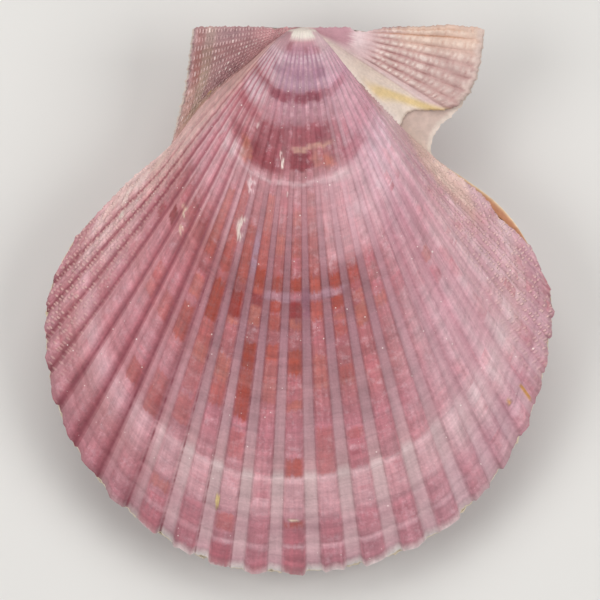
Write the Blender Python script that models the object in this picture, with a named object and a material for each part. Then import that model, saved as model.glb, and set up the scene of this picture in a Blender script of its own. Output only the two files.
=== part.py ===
"""A scallop shell: a closed pair of ribbed valves joined by the ligament along the hinge.

Metres, +Z up. The right valve, with the byssal notch, is on top. The shell lies as it comes
to rest on a flat surface, on the two middle rib crests of its lower valve.
Lengths in the constants are millimetres. In plan a point is (across, down): across the shell
from the umbo, and down from the hinge line towards the lower margin.
"""
import bpy
import bmesh
import numpy as np
from mathutils import Matrix, Vector

MM = 0.001

# Shell wall
WALL = 1.7                  # thickness over the disc
HINGE_WALL = 2.0            # what the wall gains under the umbo
HINGE_WALL_REACH = 0.08     # share of the growth over which that gain fades
LIP = 0.9                   # thickness at the margin
LIP_FROM = 0.7              # growth at which the wall begins to thin towards it
GAP = 0.3                   # clearance where two pieces meet
HINGE_SLOT = 0.4            # how far each inner face stands back at the hinge, for the ligament
HINGE_SLOT_REACH = 4.0      # distance from the hinge over which it closes again

# Growth: each valve is a cone coiled about the hinge line, and its size grows by the factor
# exp(COIL) for each radian of turning, so a smaller number gives a deeper valve
RIGHT_COIL = 2.5
LEFT_COIL = 2.1
UMBO_HALF = 1.15            # half width of the rounded umbo
FIRST_GROWTH = 0.0366       # size of the umbo's first ring, as a share of the full shell
ROWS = 12                   # rings from the umbo to the margin
ROW_POWER = 1.7             # crowds the rings towards the umbo
LEFT_SINUS_ROW = 8          # ring at which the ear on the left ends
NOTCH_ROW = 7               # ring at which the byssal notch cuts in
RIGHT_SINUS_ROW = 8         # ring at which the lower valve's ear on the right ends

# Ribs are numbered from the mid line. Their directions at the margin, as (rib number, degrees
# from the mid line), run from one side edge of the disc to the other.
RIB_WAYS = [
    (-12.9, -47.2), (-9, -37.7), (-6, -26.2), (-3, -13.0), (0, -0.95), (3, 12.1), (6, 25.3),
    (9, 36.3), (13.25, 46.0)]
FIRST_RIB, LAST_RIB = RIB_WAYS[0][0], RIB_WAYS[-1][0]
YOUNG_FAN_CLOSED = 0.11     # share by which the young shell's ribs stood closer together
YOUNG_FAN_TURN = 1.2        # degrees by which they leant to the left
CREST_HALF = 0.23           # half width of a crest, as a share of the rib spacing
FOOT_HALF = 0.34            # half width of a rib at its foot
RIB_HEIGHT = 0.155          # as a share of the rib spacing
FINE_RIBS_FROM = 10         # ribs past this number are narrow and sharp
INNER_RIBS_FROM = 0.72      # growth at which the ribs begin to show inside

# Side roll: the disc falls to the ears and shoulders over these many rib spacings
ROLL_NEAR_UMBO = 2.5
ROLL_AT_SHOULDER = 6.5
ROLL_WIDENS = (0.2, 0.6)    # growth over which the roll passes from the first to the second
SIDE_BEND_REACH = 5.0       # rib spacings over which the rays bend to meet the side edges

# The margin as (degrees from the mid line, distance from the umbo)
MARGIN = [
    (-47.2, 50.8), (-44.9, 57.6), (-39.4, 66.4), (-32.7, 74.3), (-24.2, 81.5), (-14.7, 86.9),
    (-9.3, 89.0), (-0.3, 89.3), (6.2, 88.5), (13.5, 86.4), (22.6, 80.5), (31.1, 73.0),
    (37.4, 66.2), (43.6, 57.7), (46.0, 51.3)]

# Side edges of the disc in plan, from the umbo past the ear to the widest part
LEFT_EDGE = [
    (-1.2, 0.2), (-4.9, 2.3), (-8.7, 5.7), (-17.0, 13.3), (-21.6, 19.2), (-28.4, 25.1), (-37.3, 34.5)]
LEFT_SINUS = 4
RIGHT_EDGE = [
    (1.2, 0.2), (8.9, 8.7), (15.9, 16.1), (21.5, 21.3), (26.1, 25.1), (31.3, 29.0), (36.9, 35.6)]
NOTCH = 2
LOWER_RIGHT_EDGE = [
    (1.2, 0.2), (8.9, 8.7), (15.9, 16.1), (21.7, 21.6), (27.3, 24.9), (32.6, 28.6), (38.1, 35.2)]
RIGHT_SINUS = 3

# Free edges of the ears in plan, from the disc to the hinge line
LEFT_EAR = [(-21.6, 19.2), (-20.4, 15.3), (-19.0, 9.3), (-18.3, 4.0), (-17.8, 0.0)]
NOTCHED_EAR = [
    (15.9, 16.1), (17.2, 14.0), (19.8, 13.6), (22.5, 13.6), (24.9, 13.1), (26.7, 11.3), (28.6, 7.4),
    (29.3, 3.4), (29.7, 0.0)]
LOWER_RIGHT_EAR = [
    (21.7, 21.6), (21.0, 20.3), (21.8, 17.2), (25.6, 13.3), (28.4, 8.6), (29.4, 4.0), (29.8, 0.0)]
LOWER_LEFT_SPREAD = -0.3    # how far the lower valve stands out past the left ear

# Ear relief
EAR_COLUMNS = 15
FASCIOLE_END = 0.36         # share of the notched ear's edge that the smooth fasciole takes
FASCIOLE_DEPTH = 0.3
FASCIOLE_BLEND = 0.1        # share over which the ear rises again past it
EAR_LIFT = 0.45
EAR_RIB_HEIGHT = 0.22

# How far the lower valve's margin stands past the upper one's: all round, and at the right shoulder
LOWER_SPREAD = 0.15
SHOULDER_SPREAD = 1.1
SHOULDER_AT, SHOULDER_WIDTH = 44.0, 5.0     # degrees from the mid line

# Ligament: a strip along the hinge and a triangular pad under the umbo
STRIP_HALF_THICK = 0.2
STRIP_DEPTH = 1.3
STRIP_END_DEPTH = 0.52
STRIP_LEFT, STRIP_RIGHT = -16.8, 28.6
PAD_HALF_WIDTH = 1.9
PAD_DEPTH = 4.6

# The shell lies on the flats of two crests of the lower valve, between these rings
REST_ROWS = (7, 8)
REST_RIBS = (0.5, -0.5)
LEVEL_WITHIN = 0.02         # distance within which a corner counts as one of those flats

# Mesh
MERGE_WITHIN = 1e-4
SHARP_ANGLE = 50.0          # degrees


def through(knots, values, at):
    """Read a smooth curve through a few values, its slopes taken from their neighbours."""
    knots, values = np.asarray(knots, float), np.asarray(values, float)
    slopes = np.gradient(values, knots)
    i = np.clip(np.searchsorted(knots, at) - 1, 0, len(knots) - 2)
    step = knots[i + 1] - knots[i]
    t = (at - knots[i]) / step
    near = (2 * t**3 - 3 * t**2 + 1) * values[i] + (t**3 - 2 * t**2 + t) * step * slopes[i]
    far = (3 * t**2 - 2 * t**3) * values[i + 1] + (t**3 - t**2) * step * slopes[i + 1]
    return near + far


def reaches(points):
    """Distances along an outline to each of its points."""
    steps = np.diff(np.array(points), axis=0)
    return np.concatenate([[0.0], np.cumsum(np.hypot(steps[:, 0], steps[:, 1]))])


def along(points, share):
    """Points at these shares of the length of a smooth outline."""
    points, reach = np.array(points), reaches(points)
    at = np.asarray(share) * reach[-1]
    return np.stack([through(reach, points[:, 0], at), through(reach, points[:, 1], at)], axis=-1)


def ease(low, high, value):
    """Smooth step from 0 at low to 1 at high."""
    t = np.clip((value - low) / (high - low), 0.0, 1.0)
    return t * t * (3 - 2 * t)


def ring_sizes():
    """Growth of each ring: its size as a share of the full shell."""
    start = FIRST_GROWTH ** (1 / ROW_POWER)
    return np.linspace(start, 1.0, ROWS + 1) ** ROW_POWER


def rib_columns():
    """Rib numbers of the disc's columns: four on each broad rib and two on each fine one."""
    columns = [FIRST_RIB, LAST_RIB]
    for rib in range(round(FIRST_RIB), round(LAST_RIB) + 1):
        broad = (-FOOT_HALF, -CREST_HALF, CREST_HALF, FOOT_HALF)
        columns += [rib + side for side in (broad if abs(rib) <= FINE_RIBS_FROM else (0.0, 0.5))]
    columns = [c for c in columns if FIRST_RIB <= c <= LAST_RIB]
    return np.array(sorted(columns))


def rib_profile(number):
    """1 on a crest of the upper valve and 0 in the space between two ribs."""
    off = np.abs(number - np.round(number))
    return np.clip((FOOT_HALF - off) / (FOOT_HALF - CREST_HALF), 0.0, 1.0)


def normals(points):
    """Outward unit normals of a grid of points."""
    across = np.gradient(points, axis=0)
    outward = np.gradient(points, axis=1)
    normal = np.cross(outward, across)
    normal /= np.maximum(np.linalg.norm(normal, axis=-1, keepdims=True), 1e-9)
    return np.where(normal[..., 2:] < 0, -normal, normal)


def inner_face(down):
    """Height of the flat inner face of the ears and of the hinge plate."""
    return GAP / 2 + HINGE_SLOT * np.exp(-(down / HINGE_SLOT_REACH) ** 2)


class Valve:
    """One valve, worked out with its outer side up."""

    def __init__(self, upper):
        self.upper = upper
        self.coil = RIGHT_COIL if upper else LEFT_COIL
        self.left_edge = np.array(LEFT_EDGE)
        self.left_ear = np.array(LEFT_EAR)
        self.right_edge = np.array(RIGHT_EDGE if upper else LOWER_RIGHT_EDGE)
        self.right_ear = np.array(NOTCHED_EAR if upper else LOWER_RIGHT_EAR)
        self.right_joint = NOTCH if upper else RIGHT_SINUS
        self.right_row = NOTCH_ROW if upper else RIGHT_SINUS_ROW
        if not upper:
            self.left_ear[1:, 0] += LOWER_LEFT_SPREAD
        self.growth = ring_sizes()
        self.ribs = rib_columns()

    def margin(self, angle):
        """Distance from the umbo to the margin at each angle from the mid line."""
        degrees, reach = np.array(MARGIN).T
        result = through(degrees, reach, angle)
        if not self.upper:
            result = result + LOWER_SPREAD
            result = result + SHOULDER_SPREAD * np.exp(-((angle - SHOULDER_AT) / SHOULDER_WIDTH) ** 2)
        return result

    def side_edge(self, edge, joint, row):
        """Plan points of a side edge at each ring, with the ear's end exactly on its ring."""
        reach = reaches(edge)
        share = np.interp(self.growth, [0.0, self.growth[row], 1.0], [0.0, reach[joint] / reach[-1], 1.0])
        return along(edge, share), share / (reach[joint] / reach[-1])

    def disc(self):
        """Outer and inner points of the disc, by column and ring."""
        rib, size = self.ribs[:, None], self.growth[None, :]
        way = through(*np.array(RIB_WAYS).T, rib)
        reach = self.margin(way)
        young = 1 - size
        angle = way * (1 - YOUNG_FAN_CLOSED * young) - YOUNG_FAN_TURN * young
        turn = -np.log(size) / self.coil
        across = size * reach * np.sin(np.radians(angle)) + UMBO_HALF * rib / LAST_RIB * young
        straight = size * reach * np.cos(np.radians(angle))
        down = straight * np.cos(turn)
        left, _ = self.side_edge(self.left_edge, LEFT_SINUS, LEFT_SINUS_ROW)
        right, _ = self.side_edge(self.right_edge, self.right_joint, self.right_row)
        plan = np.stack([across, down], axis=-1)
        for edge, column, distance in ((left, 0, rib - FIRST_RIB), (right, -1, LAST_RIB - rib)):
            share = np.clip(1 - distance / SIDE_BEND_REACH, 0.0, 1.0) ** 2
            plan = plan + share[..., None] * (edge - plan[column])[None]
        to_side = np.minimum(rib - FIRST_RIB, LAST_RIB - rib)
        roll = ROLL_NEAR_UMBO + (ROLL_AT_SHOULDER - ROLL_NEAR_UMBO) * ease(*ROLL_WIDENS, size)
        fall = 1 - (1 - np.clip(to_side / roll, 0.0, 1.0)) ** 2
        height = GAP / 2 + LIP + straight * np.sin(turn) * fall
        base = np.concatenate([plan, height[..., None]], axis=-1)
        normal = normals(base)
        spacing = size * reach * np.radians(np.gradient(way[:, 0], self.ribs))[:, None]
        relief = (rib_profile(rib) - 0.5) * RIB_HEIGHT * spacing * np.clip(to_side, 0.0, 1.0)
        relief = relief if self.upper else -relief
        outer = base + normal * relief[..., None]
        wall = LIP + (WALL - LIP) * (1 - ease(LIP_FROM, 1.0, size))
        wall = wall + HINGE_WALL * np.exp(-size / HINGE_WALL_REACH)
        inner = base.copy()
        inner[..., 2] = np.maximum(base[..., 2] - wall / normal[..., 2], inner_face(plan[..., 1]))
        at_rim = np.where(size == 1.0, GAP / 2, inner[..., 2])
        inner[..., 2] = at_rim + relief * ease(INNER_RIBS_FROM, 1.0, size)
        return outer, inner

    def ear(self, outline, edge, joint, row, lift):
        """Outer and inner points of an ear, by column from the disc to the hinge, and ring."""
        suture, size = self.side_edge(edge, joint, row)
        suture, size = suture[:row + 1], size[:row + 1]
        share = np.linspace(0.0, 1.0, EAR_COLUMNS + 1)
        free_edge = along(outline, share)
        plan = size[None, :, None] * free_edge[:, None, :]
        bend = suture - size[:, None] * free_edge[0]
        plan = plan + (1 - share[:, None, None]) ** 2 * bend[None]
        height = GAP / 2 + LIP + size[None, :] * lift(share)[:, None]
        outer = np.concatenate([plan, height[..., None]], axis=-1)
        inner = outer.copy()
        inner[..., 2] = inner_face(plan[..., 1])
        return outer, inner

    def plain_lift(self, share):
        """Relief of an ear that is ridged from the disc to the hinge."""
        ridges = EAR_RIB_HEIGHT * (np.arange(len(share)) % 2) * np.sin(np.pi * share)
        return EAR_LIFT * np.sin(np.pi * share / 2) + ridges

    def notched_lift(self, share):
        """Relief of the notched ear: a hollow fasciole by the disc, then ridges."""
        hollow = -FASCIOLE_DEPTH * np.sin(np.pi * np.clip(share / FASCIOLE_END, 0.0, 1.0))
        ridges = EAR_RIB_HEIGHT * (np.arange(len(share)) % 2) * (share > FASCIOLE_END) * (share < 1)
        rise = ease(FASCIOLE_END - FASCIOLE_BLEND, FASCIOLE_END + FASCIOLE_BLEND, share)
        return hollow + ridges + EAR_LIFT * rise

    def sheets(self):
        """Outer and inner point grids of the disc and both ears."""
        right_lift = self.notched_lift if self.upper else self.plain_lift
        return [
            self.disc(),
            self.ear(self.left_ear, self.left_edge, LEFT_SINUS, LEFT_SINUS_ROW, self.plain_lift),
            self.ear(self.right_ear, self.right_edge, self.right_joint, self.right_row, right_lift)]


def add_sheet(bm, outer, inner, inner_layer, row_layer):
    """Bend a flat grid into a sheet that runs from the umbo's tip out to the margin."""
    tip_out, tip_in = (0.0, 0.0, GAP / 2 + LIP), (0.0, 0.0, inner_face(0.0))
    columns = len(outer)
    outer = np.concatenate([np.broadcast_to(tip_out, (columns, 1, 3)), outer], axis=1)
    inner = np.concatenate([np.broadcast_to(tip_in, (columns, 1, 3)), inner], axis=1)
    rows = outer.shape[1]
    grid = bmesh.ops.create_grid(bm, x_segments=columns - 1, y_segments=rows - 1, size=0.5)
    for vert in grid["verts"]:
        i = round((vert.co.x + 0.5) * (columns - 1))
        j = round((vert.co.y + 0.5) * (rows - 1))
        vert.co = outer[i, j]
        vert[inner_layer] = inner[i, j]
        vert[row_layer] = j


def build_valve(name, upper, material):
    """Model a valve as one closed body: weld its sheets and extrude them to the inner side."""
    bm = bmesh.new()
    inner_layer = bm.verts.layers.float_vector.new("inner")
    row_layer = bm.verts.layers.int.new("row")
    valve = Valve(upper)
    for outer, inner in valve.sheets():
        add_sheet(bm, outer, inner, inner_layer, row_layer)
    bmesh.ops.remove_doubles(bm, verts=bm.verts, dist=MERGE_WITHIN)
    bmesh.ops.dissolve_degenerate(bm, edges=bm.edges, dist=MERGE_WITHIN)
    lifted = bmesh.ops.extrude_face_region(bm, geom=bm.faces)
    inside = {element for element in lifted["geom"] if isinstance(element, bmesh.types.BMVert)}
    for vert in inside:
        vert.co = vert[inner_layer]
    thin_out_rings(bm, inside, row_layer)
    sign = 1 if upper else -1
    for vert in bm.verts:
        vert.co = Vector((vert.co.x, -vert.co.y, sign * vert.co.z)) * MM
    face_outwards(bm)
    return finish(bm, name, material)


def face_outwards(bm):
    """Make the faces agree, and point them out of the body."""
    bmesh.ops.recalc_face_normals(bm, faces=bm.faces)
    if bm.calc_volume(signed=True) < 0:
        bmesh.ops.reverse_faces(bm, faces=bm.faces)


def thin_out_rings(bm, inside, row_layer):
    """Drop every second ring of the smooth inner side."""
    doomed = []
    for edge in bm.edges:
        a, b = edge.verts
        if a not in inside or b not in inside or a[row_layer] != b[row_layer]:
            continue
        inner_faces = all(all(v in inside for v in face.verts) for face in edge.link_faces)
        if inner_faces and len(edge.link_faces) == 2 and a[row_layer] % 2 == 0:
            doomed.append(edge)
    bmesh.ops.dissolve_edges(bm, edges=doomed, use_verts=True)


def build_ligament(name, material):
    """Model the ligament as a flat plate: a strip along the hinge with a pad under the umbo."""
    outline = [
        (STRIP_LEFT, 0.0), (STRIP_RIGHT, 0.0), (STRIP_RIGHT, STRIP_END_DEPTH),
        (PAD_HALF_WIDTH, STRIP_DEPTH), (0.0, PAD_DEPTH), (-PAD_HALF_WIDTH, STRIP_DEPTH),
        (STRIP_LEFT, STRIP_END_DEPTH)]
    bm = bmesh.new()
    corners = [bm.verts.new(Vector((x, -down, -STRIP_HALF_THICK)) * MM) for x, down in outline]
    plate = bm.faces.new(corners)
    raised = bmesh.ops.extrude_face_region(bm, geom=[plate])
    top = [element for element in raised["geom"] if isinstance(element, bmesh.types.BMVert)]
    bmesh.ops.translate(bm, verts=top, vec=(0, 0, 2 * STRIP_HALF_THICK * MM))
    face_outwards(bm)
    return finish(bm, name, material)


def finish(bm, name, material):
    """Turn a bmesh into a named object with its material."""
    mesh = bpy.data.meshes.new(name)
    bm.to_mesh(mesh)
    bm.free()
    mesh.materials.append(material)
    mesh.shade_smooth()
    mesh.set_sharp_from_angle(angle=np.radians(SHARP_ANGLE))
    piece = bpy.data.objects.new(name, mesh)
    bpy.context.collection.objects.link(piece)
    return piece


def paint(name, colour, roughness):
    """Plain surface of one colour."""
    material = bpy.data.materials.new(name)
    material.use_nodes = True
    shader = material.node_tree.nodes["Principled BSDF"]
    shader.inputs["Base Color"].default_value = (*colour, 1.0)
    shader.inputs["Roughness"].default_value = roughness
    shader.inputs["Metallic"].default_value = 0.0
    return material


def resting_points():
    """Corners of the two crest flats that the lower valve lies on."""
    valve = Valve(False)
    outer, _ = valve.disc()
    corners = []
    for rib in REST_RIBS:
        half = 0.5 - FOOT_HALF
        for side in (rib - half, rib + half):
            column = int(np.argmin(np.abs(valve.ribs - side)))
            corners += [outer[column, row] for row in REST_ROWS]
    return np.array([(x, -down, -z) for x, down, z in corners]) * MM


def lay_down(pieces):
    """Turn the shell so that its resting flats are level, and stand it centred on the origin."""
    corners = resting_points()
    middle = corners.mean(axis=0)
    _, _, axes = np.linalg.svd(corners - middle)
    down = Vector(axes[2] if axes[2][2] < 0 else -axes[2])
    turn = down.rotation_difference(Vector((0, 0, -1))).to_matrix().to_4x4()
    for piece in pieces:
        piece.data.transform(turn)
    floor = (turn @ Vector(middle)).z
    for piece in pieces:
        for vert in piece.data.vertices:
            away = min((turn @ Vector(corner) - vert.co).length for corner in corners)
            vert.co.z = floor if away < LEVEL_WITHIN * MM else vert.co.z
    points = [vert.co for piece in pieces for vert in piece.data.vertices]
    low = Vector([min(p[i] for p in points) for i in range(3)])
    high = Vector([max(p[i] for p in points) for i in range(3)])
    centre = (low + high) / 2
    for piece in pieces:
        piece.data.transform(Matrix.Translation((-centre.x, -centre.y, -low.z)))


def main():
    for leftover in list(bpy.data.objects):
        bpy.data.objects.remove(leftover)
    rose_shell = paint("rose_shell", (0.52, 0.22, 0.25), 0.45)
    ligament_brown = paint("ligament_brown", (0.06, 0.03, 0.02), 0.6)
    pieces = [
        build_valve("right_valve", True, rose_shell),
        build_valve("left_valve", False, rose_shell),
        build_ligament("hinge_ligament", ligament_brown)]
    lay_down(pieces)


main()
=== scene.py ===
"""Looks of a closed pair of scallop valves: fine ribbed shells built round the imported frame.

Plan points are (across, down) in millimetres: across the shell from the umbo, and down from
the hinge line towards the lower margin. Size runs from 0 at the umbo to 1 at the margin, and
growth is the same in millimetres along the mid line.
"""

from functools import partial

import bmesh
import bpy
import numpy as np
from mathutils import Matrix, Vector


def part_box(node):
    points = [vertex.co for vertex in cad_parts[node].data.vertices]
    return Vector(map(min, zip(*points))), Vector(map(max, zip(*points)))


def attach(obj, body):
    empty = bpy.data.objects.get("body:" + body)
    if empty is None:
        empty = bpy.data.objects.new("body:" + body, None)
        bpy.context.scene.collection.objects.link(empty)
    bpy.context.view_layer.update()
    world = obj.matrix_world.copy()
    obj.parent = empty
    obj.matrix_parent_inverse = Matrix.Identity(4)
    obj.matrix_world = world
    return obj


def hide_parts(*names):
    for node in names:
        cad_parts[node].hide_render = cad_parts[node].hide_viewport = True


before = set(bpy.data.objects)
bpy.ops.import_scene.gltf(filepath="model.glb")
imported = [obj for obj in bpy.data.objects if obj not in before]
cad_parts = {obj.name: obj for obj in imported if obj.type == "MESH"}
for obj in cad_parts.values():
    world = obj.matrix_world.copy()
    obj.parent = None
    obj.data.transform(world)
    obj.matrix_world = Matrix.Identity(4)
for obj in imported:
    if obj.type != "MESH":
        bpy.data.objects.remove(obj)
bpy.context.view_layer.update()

MM = 0.001

# ------------------------------------------------------------------ form, as in the solids

WALL, LIP = 1.7, 0.9        # wall, and what it thins to at the margin
HINGE_WALL = 2.0            # extra wall round the umbo
HINGE_WALL_REACH = 0.08
GAP = 0.3                   # between the valves at the margin
HINGE_SLOT = 0.4            # extra gap for the ligament, and how far down it reaches
HINGE_SLOT_REACH = 4.0

RIGHT_COIL, LEFT_COIL = 2.5, 2.1        # how fast each spiral widens as it turns
UMBO_HALF, FIRST_SIZE = 1.15, 0.0366    # half width of the umbo's tip, and the first ring's size
SINUS_SIZE = 0.564          # size at which an ear ends at the disc's side
NOTCH_SIZE = 0.472          # size at which the byssal notch cuts in
HEIGHT = 89.3               # umbo to lower margin

# Direction of a rib at the margin, as (rib number, degrees from the mid line)
RIB_WAYS = [
    (-12.9, -47.2), (-9, -37.7), (-6, -26.2), (-3, -13.0), (0, -0.95), (3, 12.1), (6, 25.3),
    (9, 36.3), (13.25, 46.0)]
FIRST_RIB, LAST_RIB = RIB_WAYS[0][0], RIB_WAYS[-1][0]
YOUNG_FAN_CLOSED = 0.11     # share by which the young shell's ribs stood closer together
YOUNG_FAN_TURN = 1.2        # degrees by which they leant to the left
CREST_HALF, FOOT_HALF = 0.20, 0.37      # half widths of a rib's top and foot, in rib spacings
RIB_HEIGHT, YOUNG_RIB_HEIGHT = 0.12, 0.17       # also in rib spacings
INNER_RIBS_FROM = 0.72      # size from which the ribs show on the inner side too
THINNING_SIZE = 0.7         # size from which the wall thins

ROLL_NEAR_UMBO, ROLL_AT_SHOULDER = 2.5, 6.5     # ribs over which the sides roll down
ROLL_SIZES = (0.2, 0.6)
SIDE_BEND_REACH = 5.0       # ribs over which the disc bends to its side edges

# Outlines in plan, and at which of their points the ears or the notch end
MARGIN = [
    (-47.2, 50.8), (-44.9, 57.6), (-39.4, 66.4), (-32.7, 74.3), (-24.2, 81.5), (-14.7, 86.9),
    (-9.3, 89.0), (-0.3, 89.3), (6.2, 88.5), (13.5, 86.4), (22.6, 80.5), (31.1, 73.0),
    (37.4, 66.2), (43.6, 58.2), (46.0, 52.0)]
LEFT_EDGE = [
    (-1.2, 0.2), (-4.9, 2.3), (-8.7, 5.7), (-17.0, 13.3), (-21.6, 19.2), (-28.4, 25.1), (-37.3, 34.5)]
LEFT_SINUS = 4
RIGHT_EDGE = [
    (1.2, 0.2), (8.9, 8.7), (15.9, 16.1), (21.5, 21.3), (26.4, 25.1), (30.2, 28.4), (31.9, 31.0),
    (34.3, 33.0), (37.4, 36.1)]
NOTCH = 2
LOWER_RIGHT_EDGE = [
    (1.2, 0.2), (8.9, 8.7), (15.9, 16.1), (21.7, 21.6), (26.8, 25.0), (31.8, 28.8),
    (35.0, 32.4), (37.1, 35.8)]
RIGHT_SINUS = 3
LEFT_EAR = [(-21.6, 19.2), (-20.4, 15.3), (-19.0, 9.3), (-18.3, 4.0), (-17.8, 0.0)]
NOTCHED_EAR = [
    (15.9, 16.1), (17.2, 14.0), (19.8, 13.6), (22.5, 13.6), (24.9, 13.1), (26.7, 11.3), (28.6, 7.4),
    (29.3, 3.4), (29.7, 0.0)]
LOWER_RIGHT_EAR = [
    (21.7, 21.6), (21.0, 20.3), (21.8, 17.2), (25.6, 13.3), (28.4, 8.6), (29.4, 4.0), (29.8, 0.0)]
LOWER_SPREAD = -0.3         # how much smaller the lower valve is all round

# How the shell lies: turned by this much about this level axis
REST_TURN = 7.197
REST_AXIS = (0.9997, 0.0246, 0.0)
# The ligament's plate in the shell's own frame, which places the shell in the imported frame
STRIP_LEFT, STRIP_RIGHT, PAD_DEPTH, STRIP_HALF_THICK = -16.8, 28.6, 4.6, 0.2
STRIP_END_DEPTH, PAD_SLOPE = 0.52, 1.74
STRIP_INSET = 0.1           # how far its edge stays inside the hinge edges
UMBO_INSET, UMBO_SLOPE = 0.8, 0.3       # and beside the umbo's tip
LEAST_STRIP = 0.05
STRIP_SKIN = 0.03           # how far its faces stay inside the plate
STRIP_WAVE = (0.05, 5.1)    # unevenness of its lower edge: height, turns in radians per mm
LAMELLAE = ((0.03, 21.0, 1), (0.02, 9.0, 0))    # ripples: height, turns in radians per mm, axis
LIGAMENT_COLUMNS, LIGAMENT_ROWS = 240, 12

# ------------------------------------------------------------------ fine form

# The grid: rings of growth, and columns at these shares of a rib spacing from each rib's middle
ROWS, ROW_POWER = 196, 1.12
RIB_OFFSETS = (-0.5, -0.42, -0.36, -0.32, -0.27, -0.22, -0.08, 0.08, 0.22, 0.27, 0.32, 0.36, 0.42)
FINE_RIB_OFFSETS = tuple(i / 12 for i in range(-6, 6))
FINE_RIBS_FROM = 10
LEAST_COLUMN = 0.02         # columns closer than this, in rib spacings, are one
EAR_COLUMNS = 80
INNER_EVERY = 8             # the smooth inner side keeps one ring in this many

RIBLETS = 3                 # fine riblets on each rib towards the sides
RIBLET_HEIGHT = 0.09
RIM_TEETH = 0.30            # how far rib ends stand out at the margin
LOWER_TEETH = 0.3           # share of that on the lower valve
RIM_CHIPS = 0.20            # unevenness of the margin
SIDE_TEETH = 2.0            # how much further the narrow side ribs' ends stand out
SIDE_CHIPS = 0.16           # unevenness of the edge above the shoulders
RIM_BEVEL = 0.45            # how far the lip thins at its very edge
SMOOTH_SIDE = 1.6           # ribs by which the young disc stays smooth beside the ears
GROWTH_RELIEF = 0.035       # unevenness of growth
STOP_DEPTH, STOP_HALF = 0.10, 0.4       # depth and half width of the grooves where growth paused
GROWTH_STOPS = (29.0, 59.4, 73.6, 80.7, 85.0)

# Sizes over which the ribs begin, grow flat-topped and get riblets, and over which the free edge
# begins above the shoulders, then those from which rib ends stand out and the lip thins
FIRST_SIZES, YOUNG_SIZES = (0.07, 0.13), (0.25, 0.5)
ADULT_SIZES, SHOULDER_SIZES = (0.4, 0.75), (0.60, 0.66)
RIM_SIZE, BEVEL_SIZE, EAR_BEVEL_SIZE = 0.93, 0.988, 0.985
# Rib numbers over which they turn round, get riblets, and stand out further at the margin
ROUND_RIBS, RIBLET_RIBS, SIDE_RIBS = (3, 8), (7.5, 10), (8, 11)

EAR_ARCH = 0.45             # how far an ear bulges at its hinge
EAR_CHIPS = 0.17            # unevenness of its outer edge
BACK_EAR_ROWS = 13          # rows of beads
BACK_EAR_REACH = 18.5       # mm from the umbo to an ear's outer end, along the hinge
EAR_BEAD_RELIEF = 0.16
FRONT_EAR_RIBS, FRONT_EAR_REACH = 7, 29.7
CORD_PITCH = 1.12           # growth cords that cut the front ear's ribs into blocks
HOLLOW_DEPTH, FOLD_HEIGHT, EAR_RIB_HEIGHT = 0.45, 0.20, 0.46    # of the notched ear
BEAD_PITCH, EAR_BEAD_PITCH = 0.62, 0.52         # from bead to bead along a row, in mm
SHARP_ANGLE = 40            # degrees past which an edge shows as a crease
WELD = 1e-4                 # mm within which points are one

# The notched ear's hinge edge, as (across, down): a low step beside the umbo, then worn teeth
FRONT_HINGE = [
    (0.0, 0.0), (3.0, 0.05), (7.6, 0.0), (8.6, 0.7), (10.4, 0.75), (13.0, 0.1), (16.0, -0.1),
    (20.0, -0.1), (22.5, -0.35), (24.5, -0.4), (26.0, -0.15), (28.4, 0.0), (29.7, 0.35)]
BACK_HINGE = [
    (0.0, 0.0), (3.5, 0.05), (4.7, 0.35), (5.6, 0.0), (9.0, -0.1), (14.0, -0.1), (17.0, -0.05),
    (17.8, 0.15)]
HINGE_TEETH = 0.10          # unevenness of the hinge edges

# ------------------------------------------------------------------ colour marks

WINE, RUST, BRICK, SALMON = "#7E2224", "#953010", "#A04534", "#AC6052"
ROSE = "#A85C66"
NO_BLOCK = -3.0             # depth in a block of stain, where there is none
RIB_EDGE = (0.36, 0.26)     # where a mark on ribs alone fades, in rib spacings from the middle

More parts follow.
